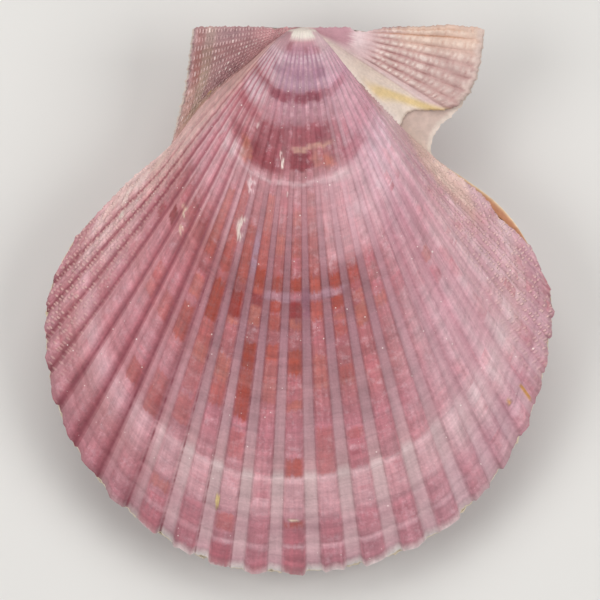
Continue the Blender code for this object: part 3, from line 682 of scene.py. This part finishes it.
def build_valve(name, upper, place, materials):
    """Weld a valve's sheets and extrude them to the inner side, as one closed shell."""
    bm = bmesh.new()
    kinds = bm.verts.layers
    layers = {"inner": kinds.float_vector.new("inner"), "row": kinds.int.new("row")}
    layers.update({mark: kinds.float.new(mark) for mark in NUMBERS})
    layers.update({mark: kinds.float_color.new(mark) for mark in COLOURS})
    for sheet in Valve(upper).sheets():
        add_sheet(bm, sheet, layers)
    bmesh.ops.remove_doubles(bm, verts=bm.verts, dist=WELD)
    bmesh.ops.dissolve_degenerate(bm, edges=bm.edges, dist=WELD)
    outside = set(bm.faces)
    inside = extrude(bm)
    for vert in inside:
        vert.co = vert[layers["inner"]]
    for face in bm.faces:
        if face not in outside:
            on_disc = face.material_index == SURFACES.index("disc")
            face.material_index = SURFACES.index("inside" if on_disc else "ear_inside")
    thin_out_rings(bm, inside, layers["row"])
    sign = 1 if upper else -1
    for vert in bm.verts:
        vert.co = Vector((vert.co.x, -vert.co.y, sign * vert.co.z)) * MM
    return finish(bm, name, place, materials)


def thin_out_rings(bm, inside, row_layer):
    """Keep only some rings of the smooth inner side."""
    doomed = []
    for edge in bm.edges:
        row, other = (vert[row_layer] for vert in edge.verts)
        around = (vert for face in edge.link_faces for vert in face.verts)
        if row == other and row % INNER_EVERY and all(vert in inside for vert in around):
            doomed.append(edge)
    bmesh.ops.dissolve_edges(bm, edges=doomed, use_verts=True)


def new_object(name, data):
    made = bpy.data.objects.new(name, data)
    bpy.context.collection.objects.link(made)
    return made


def new_piece(bm, name, materials):
    mesh = bpy.data.meshes.new(name)
    bm.to_mesh(mesh)
    bm.free()
    for material in materials:
        mesh.materials.append(material)
    return new_object(name, mesh)


def finish(bm, name, place, materials):
    """Turn the faces outwards, put the shell where it lies, and make it a piece."""
    bmesh.ops.recalc_face_normals(bm, faces=bm.faces)
    if bm.calc_volume(signed=True) < 0:
        bmesh.ops.reverse_faces(bm, faces=bm.faces)
    bmesh.ops.transform(bm, matrix=place, verts=bm.verts)
    piece = new_piece(bm, name, materials)
    piece.data.shade_smooth()
    piece.data.set_sharp_from_angle(angle=np.radians(SHARP_ANGLE))
    return piece


def build_ligament(name, place, material):
    """A strip along the hinge that widens into a pad under the umbo, its edge along the worn hinge."""
    bm = bmesh.new()
    grid = bmesh.ops.create_grid(bm, x_segments=LIGAMENT_COLUMNS, y_segments=LIGAMENT_ROWS, size=0.5)
    front, back = np.array(FRONT_HINGE).T, np.array(BACK_HINGE).T
    for vert in grid["verts"]:
        across = STRIP_LEFT + (vert.co.x + 0.5) * (STRIP_RIGHT - STRIP_LEFT)
        hinge = float(np.interp(abs(across), *(front if across > 0 else back)))
        near = max(hinge + STRIP_INSET, LEAST_STRIP, UMBO_INSET - UMBO_SLOPE * abs(across))
        far = max(STRIP_END_DEPTH, PAD_DEPTH - abs(across) * PAD_SLOPE)
        far += STRIP_WAVE[0] * np.sin(across * STRIP_WAVE[1])
        down = near + (0.5 - vert.co.y) * max(far - near, LEAST_STRIP)
        vert.co = Vector((across, -down, STRIP_SKIN - STRIP_HALF_THICK)) * MM
    for vert in extrude(bm):
        ripples = sum(high * np.sin(vert.co[axis] / MM * turns) for high, turns, axis in LAMELLAE)
        vert.co.z = (STRIP_HALF_THICK - 2 * STRIP_SKIN + ripples) * MM
    return finish(bm, name, place, [material])


def shell_place():
    """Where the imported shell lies, read from its ligament: a turn, then a shift."""
    turn = Matrix.Rotation(np.radians(REST_TURN), 4, Vector(REST_AXIS))
    corners = [
        turn @ (Vector((x, y, z)) * MM)
        for x, y in ((STRIP_LEFT, 0), (STRIP_RIGHT, 0), (0, -PAD_DEPTH))
        for z in (-STRIP_HALF_THICK, STRIP_HALF_THICK)]
    low = Vector([min(c[i] for c in corners) for i in range(3)])
    high = Vector([max(c[i] for c in corners) for i in range(3)])
    box_low, box_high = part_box("hinge_ligament")
    shift = (Vector(box_low) + Vector(box_high) - low - high) / 2
    return Matrix.Translation(shift) @ turn


# ------------------------------------------------------------------ materials

# What a node does where its call doesn't say, by its kind and how many values it is given
USUAL = {
    ("Math", 2): {"operation": "MULTIPLY"}, ("Math", 3): {"operation": "MULTIPLY_ADD"},
    ("Mix", 3): {"data_type": "RGBA"}}
SMOOTH = {"interpolation_type": "SMOOTHSTEP"}
FLAT = {"noise_dimensions": "2D"}


def fill(socket, value):
    """Link an input to an output, or set it. A text is a colour code."""
    if isinstance(value, bpy.types.NodeSocket):
        socket.id_data.links.new(value, socket)
    else:
        socket.default_value = linear(value) if isinstance(value, str) else value


def add_node(tree, kind, *values, out=None, stops=(), **named):
    """Add a shader node and return one of its outputs.

    The values fill or link its inputs in order. A name that starts with a capital is an input too,
    any other is a setting of the node, and stops are those of a colour ramp.
    """
    node = tree.nodes.new("ShaderNode" + kind)
    for name, value in {**USUAL.get((kind, len(values)), {}), **named}.items():
        if name.islower():
            setattr(node, name, value)
    sockets = [socket for socket in node.inputs if socket.enabled]
    for socket, value in zip(sockets, values):
        fill(socket, value)
    for socket in sockets:
        if socket.name in named:
            fill(socket, named[socket.name])
    for _ in stops[2:]:
        node.color_ramp.elements.new(0.5)
    for (position, code), element in zip(stops, node.color_ramp.elements if stops else ()):
        element.position, element.color = position, linear(code)
    return node.outputs[out] if out else next(s for s in node.outputs if s.enabled)


def new_material(name, look, *about):
    """A material from a look, which gives its colour, its fine relief and its roughness.

    The relief is a list of (value, how high it stands in mm).
    """
    material = bpy.data.materials.new(name)
    material.use_nodes = True
    add = partial(add_node, material.node_tree)
    colour, relief, roughness = look(add, *about)
    given = {"Base Color": colour, "Roughness": roughness}
    if relief:
        height = add("Math", *relief[0])
        for value, high in relief[1:]:
            height = add("Math", value, high, height)
        given["Normal"] = add("Bump", Height=height, Distance=MM, Strength=1)
    for name, value in given.items():
        fill(material.node_tree.nodes["Principled BSDF"].inputs[name], value)
    return material


def shaded(add, colour, shade, factors=()):
    """Darken or lighten a colour by a shade, times each factor."""
    for factor in factors:
        shade = add("Math", shade, factor)
    return add("Mix", 1, colour, add("CombineColor", shade, shade, shade), blend_type="MULTIPLY")


# Colour laid down as the shell grew, as (growth in mm, colour): on the ribs of the middle, between
# them, and over the left and the right side
RIB_COLOURS = [
    (0, "#E6D2D0"), (5.5, "#C9959C"), (7.6, "#B98694"), (9, "#CBA5B2"), (11.4, "#AB818F"),
    (13.5, "#B5929E"), (15.2, "#9C6A74"), (17, "#B28089"), (21, "#90525A"), (26, "#9C6066"),
    (28.5, "#B27C82"), (35, "#AC6C70"), (41, "#9E5656"), (46, "#984F50"), (52, "#A15C60"),
    (59, "#A86266"), (59.5, "#B98082"), (60, "#AA6669"), (66, "#B2707A"), (73.2, "#BA8087"),
    (73.8, "#D6AAAF"), (75, "#CA989E"), (79, "#C59299"), (81.2, "#B67A84"), (84.4, "#B57B84"),
    (85, "#CA9AA2"), (85.8, "#B0757F"), (88, "#B0757F"), (89.3, "#DDCBC9")]
GAP_COLOURS = [
    (0, "#E2C9CA"), (5.5, "#C4939A"), (8, "#B28292"), (11.4, "#A88092"), (13.5, "#AE8A9B"),
    (15.2, "#925F6E"), (18, "#A06D78"), (22, "#92575E"), (26, "#975F62"), (30, "#A9767C"),
    (40, "#96656D"), (47, "#8E5F66"), (52, "#9A6D76"), (60, "#A67A80"), (67, "#AE868C"),
    (72.5, "#B68D90"), (73.8, "#CEB4B4"), (75, "#C3A5A6"), (79.5, "#C2A0A3"), (82, "#B78E94"),
    (85, "#C5A1A5"), (88, "#B58C93"), (89.3, "#E2D8D4")]
LEFT_COLOURS = [
    (0, "#B07E82"), (7, "#B88E94"), (12, "#CDB0B5"), (15, "#B17A7C"), (18, "#BB898D"),
    (23, "#C38B8F"), (29, "#CC9EA2"), (35, "#C8949C"), (42, "#AF6B6A"), (52, "#BA777F"),
    (59, "#B8787D"), (63, "#C0868E"), (71, "#BB7F86"), (75, "#D4A7AE"), (80, "#B78084"),
    (88, "#AB717A")]
RIGHT_COLOURS = [
    (0, "#E0BEBD"), (8, "#D0AEB3"), (15, "#BE95A4"), (18, "#CCA5AE"), (24, "#C1919C"),
    (30, "#D3B6BF"), (35, "#D4B6BD"), (41, "#C0949E"), (49, "#BE9098"), (60, "#C79FA7"),
    (72, "#C8A1A8"), (75.5, "#D4B9BC"), (79, "#CCABAF"), (82.5, "#BC9099"), (85, "#C299A2"),
    (88, "#BA9198")]
# Painted shade across a rib of the sides, partly also its own darker colour at the wall: from its
# outer edge at 0 to the wall that faces the mid line at 1
LEFT_RIB_SHADE = [
    (0, "#F4EEEE"), (0.3, "#FFFCFC"), (0.55, "#FAF0F2"), (0.72, "#E0C2C8"), (0.85, "#C08C97"),
    (0.93, "#D2B0B5"), (1, "#E0CACD")]
RIGHT_RIB_SHADE = [
    (0, "#F2E4E6"), (0.2, "#F6ECEF"), (0.45, "#FFFCFC"), (0.65, "#FAEFF2"), (0.8, "#EEDADF"),
    (1, "#F2E2E6")]
# Over the beaded ear, as (growth in mm, colour), and the notched one, as (height of its ribs and
# cords, colour): paler blocks, partly their own colour and partly painted highlight, and darker
# grooves, partly painted shade
BEADED_EAR_COLOURS = [
    (0, "#C08C90"), (6, "#B07E80"), (9, "#9C6E70"), (12, "#9C7072"), (14.3, "#A07876"),
    (15.1, "#A68A7C"), (16.2, "#A6887A"), (16.7, "#9E6A62"), (17.5, "#9C6660"), (18, "#A87C7A"),
    (18.5, "#B89494")]
RIBBED_EAR_TONES_AND_SHADE = [
    (0.25, "#A67A78"), (0.5, "#B48C88"), (0.75, "#C2A29C"), (0.94, "#CCB2AA"), (1, "#D8C4BC")]
# On the inner side of the disc and of the ears, as (mm from the free edge, colour)
INSIDE_COLOURS = [
    (0, "#E6D4B8"), (0.08, "#DCC19A"), (0.2, "#BE8A68"), (0.5, "#BA7E5C"), (2.6, "#B88464"),
    (5, "#C49A84"), (12, "#D6BFB4"), (40, "#E4DAD2")]
EAR_INSIDE_COLOURS = [(0, "#D8C8BC"), (0.6, "#C9B3A8"), (14, "#C4ABA0"), (29.7, "#D2C2BA")]


def scaled(stops, reach):
    """Stops of a colour ramp, from colours given over a reach in mm."""
    return [(growth / reach, code) for growth, code in stops]


# What the valves' meshes carry for their looks: the attribute and the part of it that is read
EAR_MARKS = [("rib", "Fac"), ("growth", "Fac"), ("crest", "Fac"), ("patch", "Color"), ("patch", "Alpha")]
DISC_MARKS = EAR_MARKS + [("depth", "Fac"), ("radius", "Fac"), ("block", "Color"), ("block", "Alpha")]


def ribbed_disc(add):
    """Calcite disc, grown ring by ring: rose ribs between lavender spaces, with a dull gloss."""
    rib, growth, ribbed, patch, patch_strength, depth, radius, block, block_strength = (
        add("Attribute", out=out, attribute_name=mark) for mark, out in DISC_MARKS)
    place = add("TexCoord", out="Object")

    # Where a point stands on its rib: 0.5 towards the mid line, -0.5 away from it
    number = add("Math", rib, operation="ROUND")
    offset = add("Math", rib, number, operation="SUBTRACT")
    off = add("Math", offset, operation="ABSOLUTE")
    from_mid = add("Math", rib, operation="ABSOLUTE")
    side = add("MapRange", number, -3, 3, 1, -1)
    toward = add("Math", offset, side)
    facing = add("Math", add("Math", offset, operation="SIGN"), side)
    flank = add("MapRange", from_mid, 2.8, 6.5, **SMOOTH)
    on_right = add("MapRange", rib, -0.5, 0.5)
    crest = add("MapRange", off, 0.35, 0.25, **SMOOTH)

    # Blotches 5 mm, mottling 2 mm, worn places 1.4 mm and grain 0.4 mm across
    blotch, mottle, worn, grain = (
        add("TexNoise", Vector=place, Scale=scale, Detail=detail, Roughness=rough)
        for scale, detail, rough in ((190, 3, 0.55), (480, 4, 0.6), (700, 3, 0.7), (2300, 2, 0.6)))
    # Growth bands 1 to 3 mm apart, on each rib and space and right across them, then fine striae and
    # broader rays that follow the ribs
    strip = add("Math", add("Math", rib, 2), operation="ROUND")
    bowed = add("Math", mottle, 0.5, growth)
    stria_at, ray_at = (
        (add("Math", rib, across), add("Math", growth, along))
        for across, along in ((9, 0.10), (2.6, 0.06)))
    bands, rings, striae, rays = (
        add("TexNoise", Vector=add("CombineXYZ", *at), Scale=scale, Detail=detail, Roughness=rough,
            **FLAT)
        for at, scale, detail, rough in (
            ((add("Math", strip, 7.3), bowed), 0.6, 2, 0.6), ((3.7, bowed), 1.1, 3, 0.6),
            (stria_at, 1, 2, 0.5), (ray_at, 1, 2, 0.5)))
    # A number drawn for each block of a rib between two bands
    drift = add("Math", bands, 1.6, add("Math", bowed, 0.30))
    block_key = add("CombineXYZ", strip, add("Math", drift, operation="FLOOR"))
    luck = add("TexWhiteNoise", block_key, out="Value", **FLAT)

    # Colour laid down with growth: on the ribs and spaces of the middle, then over each side
    wavy = add("Math", add("Math", mottle, 0.9, growth), 0.45, operation="SUBTRACT")
    share = add("Math", wavy, HEIGHT, operation="DIVIDE")
    rib_colour, gap_colour, left, right = (
        add("ValToRGB", share, stops=scaled(stops, HEIGHT))
        for stops in (RIB_COLOURS, GAP_COLOURS, LEFT_COLOURS, RIGHT_COLOURS))
    colour = add("Mix", crest, gap_colour, rib_colour)
    colour = add("Mix", flank, colour, add("Mix", on_right, left, right))

    # A deeper rose flush on some blocks of the ribs, and paler, pinker places where they have worn
    flush = add("MapRange", blotch, 0.44, 0.62)
    for part in (add("MapRange", luck, 0.30, 1, 0, 0.7), add("MapRange", off, 0.40, 0.12, **SMOOTH),
                 add("MapRange", growth, 12, 30, 0.15, 1)):
        flush = add("Math", flush, part)
    worn = add("MapRange", worn, 0.50, 0.72, 0, add("MapRange", off, 0.36, 0.20, 0.04, 0.36))

    # Blocks of stain with ragged ends, deepest down the middle of the rib
    ragged = add("Math", striae, 1.2, add("Math", mottle, 2, depth))
    stain = add("MapRange", ragged, 1.20, 1.90, **SMOOTH)
    stain = add("Math", stain, add("MapRange", off, 0.36, 0.18, **SMOOTH))
    for value, least in ((mottle, 0.82), (striae, 0.88), (rings, 0.90)):
        stain = add("Math", stain, add("MapRange", value, 0.35, 0.60, least, 1))
    stain = add("Math", stain, block_strength)
    for weight, coat in (
            (patch_strength, patch), (flush, "#A9606A"), (worn, "#D8B2BA"), (stain, block)):
        colour = add("Mix", weight, colour, coat)

    # Light and dark: block by block, band by band, and in the mottling
    off_tip = add("MapRange", growth, 4.5, 9, 0.2, 1)
    factors = []
    for value, weak, strong in (
            (bands, 0.05, 0.10), (rings, 0.05, 0.07), (mottle, 0.07, 0.10), (blotch, 0.05, 0.07),
            (grain, 0.05, 0.07), (striae, 0.04, 0.08), (rays, 0.07, 0.07)):
        swing = add("Math", add("MapRange", crest, 0, 1, weak, strong), off_tip)
        factors.append(add("Math", add("MapRange", value, 0.3, 0.7, -1, 1), swing, 1))
    colour = shaded(add, colour, add("MapRange", luck, 0, 1, 0.94, 1.06), factors)
    # Painted shade across each side rib, darkest near the wall that faces the mid line; partly its own
    # colour
    across_rib = add("Math", toward, 0.5, operation="ADD")
    rib_shades = [add("ValToRGB", across_rib, stops=stops) for stops in (LEFT_RIB_SHADE, RIGHT_RIB_SHADE)]
    painted_rib_shade = add("Mix", on_right, *rib_shades)
    colour = add("Mix", add("Math", flank, ribbed), colour, painted_rib_shade, blend_type="MULTIPLY")

    # A broken wine-red line at the foot of a rib, 0.3 mm wide, on the wall that faces the mid line
    width = add("Math", flank, 0.03, add("Math", 1.4, growth, operation="DIVIDE"))
    width = add("Math", width, 0.02, operation="ADD")
    centre = add("MapRange", number, -6, -2, 0.38, 0.31)
    from_wall = add("Math", add("Math", off, centre, operation="SUBTRACT"), operation="ABSOLUTE")
    strength = add("MapRange", facing, -1, 1)
    for part in (add("MapRange", number, -6, 6, 0.95, 0.05), add("MapRange", growth, 20, 48, 0, 0.9),
                 add("MapRange", bands, 0.35, 0.65, 1.2, 0.35), ribbed):
        strength = add("Math", strength, part)
    wall = add("MapRange", from_wall, 0, width, 1, 0, **SMOOTH)
    colour = add("Mix", add("Math", wall, strength, use_clamp=True), colour, "#823E4A")

    # Beads 0.4 mm across in rows along the riblets of the sides, about 0.6 mm apart, on a redder
    # ground
    bead_at = add("CombineXYZ", add("Math", rib, RIBLETS), add("Math", radius, 1 / BEAD_PITCH))
    distance, key = (
        add("TexVoronoi", Vector=bead_at, Scale=1, Randomness=0.65, out=out, voronoi_dimensions="2D")
        for out in ("Distance", "Color"))
    bead = add("MapRange", distance, 0.44, 0.18, **SMOOTH)
    beaded = add("MapRange", add("Math", growth, 0.03, from_mid), 10, 12.4)
    beaded = add("Math", beaded, add("MapRange", growth, 26, 50, 0.15, 1))
    ground = add("Math", add("MapRange", blotch, 0.42, 0.60, 0, 0.22), beaded)
    beaded = add("Math", beaded, add("MapRange", add("SeparateColor", key, out="Red"), 0.05, 0.7))
    bead = add("Math", bead, beaded)
    for weight, coat in ((ground, "#9C6662"), (add("Math", bead, 0.48), "#E8C2B8")):
        colour = add("Mix", weight, colour, coat)

    # White specks up to 0.25 mm across: painted glints of light, and partly pale chips of the surface
    for scale, rarest, size in ((1050, 0.76, 0.17), (420, 0.82, 0.09)):
        distance, key = (
            add("TexVoronoi", Vector=place, Scale=scale, out=out) for out in ("Distance", "Color"))
        reach = add("MapRange", add("SeparateColor", key, out="Red"), rarest, 1, 0, size)
        glint_speck = add("MapRange", distance, reach, add("Math", reach, 0.6), 0, 0.7)
        colour = add("Mix", glint_speck, colour, "#F3E4DE")
    relief = [(rings, 0.04), (striae, 0.06), (bead, 0.13), (grain, 0.08)]
    return colour, relief, add("MapRange", bands, 0.3, 0.7, 0.48, 0.64)


def beaded_ear(add):
    """Ear plate, mauve brown, with rows of small pale beads along the growth lines."""
    share, growth, crest, patch, patch_strength = (
        add("Attribute", out=out, attribute_name=mark) for mark, out in EAR_MARKS)
    place = add("TexCoord", out="Object")
    mottle, grain = (
        add("TexNoise", Vector=place, Scale=scale, Detail=detail, Roughness=rough)
        for scale, detail, rough in ((620, 4, 0.65), (2600, 2, 0.5)))
    wavy = add("Math", add("Math", mottle, 1.2, growth), 0.6, operation="SUBTRACT")
    grown = add("Math", wavy, BACK_EAR_REACH, operation="DIVIDE")
    colour = add("ValToRGB", grown, stops=scaled(BEADED_EAR_COLOURS, BACK_EAR_REACH))

    # Beads 0.3 by 0.5 mm, one every 0.5 mm of growth on each row, taller than they are long
    row = add("Math", add("Math", share, BACK_EAR_ROWS), operation="FLOOR")
    shift = add("Math", add("TexWhiteNoise", row, out="Value", noise_dimensions="1D"), 0.3)
    beads_at = add("Math", add("Math", mottle, 0.5, growth), 1 / EAR_BEAD_PITCH, shift)
    bead_number = add("Math", beads_at, operation="ROUND")
    bead_off = add("Math", beads_at, bead_number, operation="SUBTRACT")
    bead = add("MapRange", add("Math", bead_off, operation="ABSOLUTE"), 0.42, 0.16, **SMOOTH)
    bead = add("Math", bead, add("MapRange", crest, 0.15, 0.75, **SMOOTH))
    luck = add("TexWhiteNoise", add("CombineXYZ", row, bead_number), out="Value", **FLAT)
    bright = add("Math", bead, add("MapRange", luck, 0, 1, 0.2, 0.8))
    bright = add("Math", bright, add("MapRange", growth, 3, 7, 0.3, 0.9))
    white = add("Math", add("MapRange", luck, 0.86, 0.98, 0, 0.6), bead)
    for weight, coat in ((patch_strength, patch), (bright, "#D4B4B2"), (white, "#F0E2DA")):
        colour = add("Mix", weight, colour, coat)

    # Mottled, and darker between the rows as painted shade in the grooves
    shades = [add("MapRange", *about) for about in (
        (mottle, 0.3, 0.7, 0.82, 1.18), (grain, 0.3, 0.7, 0.92, 1.08), (crest, 0, 0.6, 0.84, 1.05))]
    colour = shaded(add, colour, shades[0], shades[1:])
    return colour, [(bead, 0.16), (mottle, 0.15), (grain, 0.05)], 0.5


def ribbed_ear(add):
    """Notched ear: pale rose ribs cut into puffy blocks, rose between, by a smooth cream hollow."""
    share, growth, crest, patch, patch_strength = (
        add("Attribute", out=out, attribute_name=mark) for mark, out in EAR_MARKS)
    place = add("TexCoord", out="Object")
    mottle, grain = (
        add("TexNoise", Vector=place, Scale=scale, Detail=detail, Roughness=rough)
        for scale, detail, rough in ((520, 4, 0.6), (2300, 2, 0.5)))
    streak_at = add("CombineXYZ", add("Math", share, 55), add("Math", growth, 0.15))
    streaks = add("TexNoise", Vector=streak_at, Scale=1, Detail=2, **FLAT)
    # Paler on raised blocks, darker in the grooves: partly the ribs' own colour, partly painted
    # highlight and shade
    raised = add("Math", mottle, 0.5, add("Math", crest, 0.8))
    colour = add("Mix", patch_strength, add("ValToRGB", raised, stops=RIBBED_EAR_TONES_AND_SHADE), patch)
    shades = [add("MapRange", value, 0.3, 0.7, 1 - swing, 1 + swing)
              for value, swing in ((streaks, 0.03), (mottle, 0.08), (grain, 0.05))]
    return shaded(add, colour, shades[0], shades[1:]), [(mottle, 0.22), (grain, 0.06)], 0.62


def nacre(add, stops):
    """Porcelain-smooth inner layer with a soft gloss, banded brown along the free edge."""
    rib, rim = (add("Attribute", out="Fac", attribute_name=mark) for mark in ("rib", "rim"))
    place = add("TexCoord", out="Object")
    mottle, fine = (
        add("TexNoise", Vector=place, Scale=scale, Detail=detail, Roughness=0.6)
        for scale, detail in ((260, 4), (900, 3)))
    reach = stops[-1][0]
    pale_edge = add("MapRange", rib, 9, 11, 0.65, 0.15)
    wavy = add("Math", add("Math", mottle, 0.3, rim), pale_edge, operation="SUBTRACT")
    share = add("Math", wavy, reach, operation="DIVIDE")
    colour = add("ValToRGB", share, stops=scaled(stops, reach))
    shade = add("MapRange", mottle, 0.3, 0.7, 0.93, 1.06)
    colour = shaded(add, colour, shade, [add("MapRange", fine, 0.35, 0.65, 0.92, 1.08)])
    return colour, [(mottle, 0.2)], 0.35


def horn(add):
    """Dried ligament: dark brown, layered along the hinge, dull."""
    layers = add("Mapping", Vector=add("TexCoord", out="Object"), Scale=(120, 3000, 3000))
    noise = add("TexNoise", Vector=layers, Scale=1, Detail=3)
    colour = add("ValToRGB", noise, stops=[(0.3, "#2A1A12"), (0.6, "#553621"), (0.8, "#7A5636")])
    return colour, [(noise, 0.15)], 0.65


def paper(add):
    """Matte paper, pale and even."""
    return "#DAD8D4", [], 0.9


# ------------------------------------------------------------------ light, floor and camera

VIEW_WIDTH = 98.4           # mm that the view spans where the valves meet
VIEW_CENTRE = (-0.49, 44.7)
CAMERA_AWAY, SENSOR = 900, 36           # mm
FLOOR_HALF = 1.5            # metres, as are the softboxes' distances and sizes

# Softboxes: name, azimuth and elevation in degrees, distance, size, watts
SOFTBOXES = [
    ("left_softbox", -80, 52, 0.6, 0.35, 1.45), ("right_softbox", 80, 52, 0.6, 0.35, 1.60),
    ("top_softbox", 180, 58, 0.7, 0.5, 1.95)]
ROOM_COLOUR, ROOM_LIGHT = "#F4F4F6", 0.28


def build_stage():
    bm = bmesh.new()
    bmesh.ops.create_grid(bm, x_segments=1, y_segments=1, size=FLOOR_HALF)
    floor = new_piece(bm, "floor", [new_material("matte_paper_floor", paper)])


def build_light(aim):
    """Large soft lamps round the shell, and a pale room."""
    for name, azimuth, elevation, distance, size, watts in SOFTBOXES:
        data = bpy.data.lights.new(name, "AREA")
        data.shape, data.size, data.energy = "SQUARE", size, watts
        lamp = new_object(name, data)
        a, e = np.radians(azimuth), np.radians(elevation)
        back = Vector((np.sin(a) * np.cos(e), -np.cos(a) * np.cos(e), np.sin(e)))
        lamp.location = aim + back * distance
        lamp.rotation_euler = (-back).to_track_quat("-Z", "Y").to_euler()
    world = bpy.data.worlds.new("studio")
    world.use_nodes = True
    inputs = world.node_tree.nodes["Background"].inputs
    fill(inputs["Color"], ROOM_COLOUR)
    fill(inputs["Strength"], ROOM_LIGHT)
    bpy.context.scene.world = world


def build_camera(place):
    """A long lens straight above the upper valve, square to the plane in which the valves meet."""
    data = bpy.data.cameras.new("camera")
    data.sensor_width = SENSOR
    data.lens = SENSOR * CAMERA_AWAY / VIEW_WIDTH
    data.clip_start, data.clip_end = 0.01, 10.0
    camera = new_object("camera", data)
    across, down = VIEW_CENTRE
    camera.matrix_world = place @ Matrix.Translation(Vector((across, -down, CAMERA_AWAY)) * MM)
    bpy.context.scene.camera = camera


def main():
    place = shell_place()
    looks = [
        new_material("rose_scallop_calcite", ribbed_disc),
        new_material("beaded_mauve_calcite", beaded_ear),
        new_material("block_ribbed_calcite", ribbed_ear),
        new_material("porcelain_calcite", nacre, INSIDE_COLOURS),
        new_material("beige_porcelain_calcite", nacre, EAR_INSIDE_COLOURS)]
    brown = new_material("dried_brown_ligament", horn)
    for piece, node, slot in (
            (build_valve("right_valve_shell", True, place, looks), "right_valve", "right_valve"),
            (build_valve("left_valve_shell", False, place, looks), "left_valve", "left_valve"),
            (build_ligament("ligament_strip", place, brown), "hinge_ligament", "ligament")):
        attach(piece, "root")
        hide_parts(node)
    build_stage()
    build_light(place @ (Vector((0, -VIEW_CENTRE[1], 0)) * MM))
    build_camera(place)
    bpy.context.scene.view_settings.view_transform = "Standard"


main()
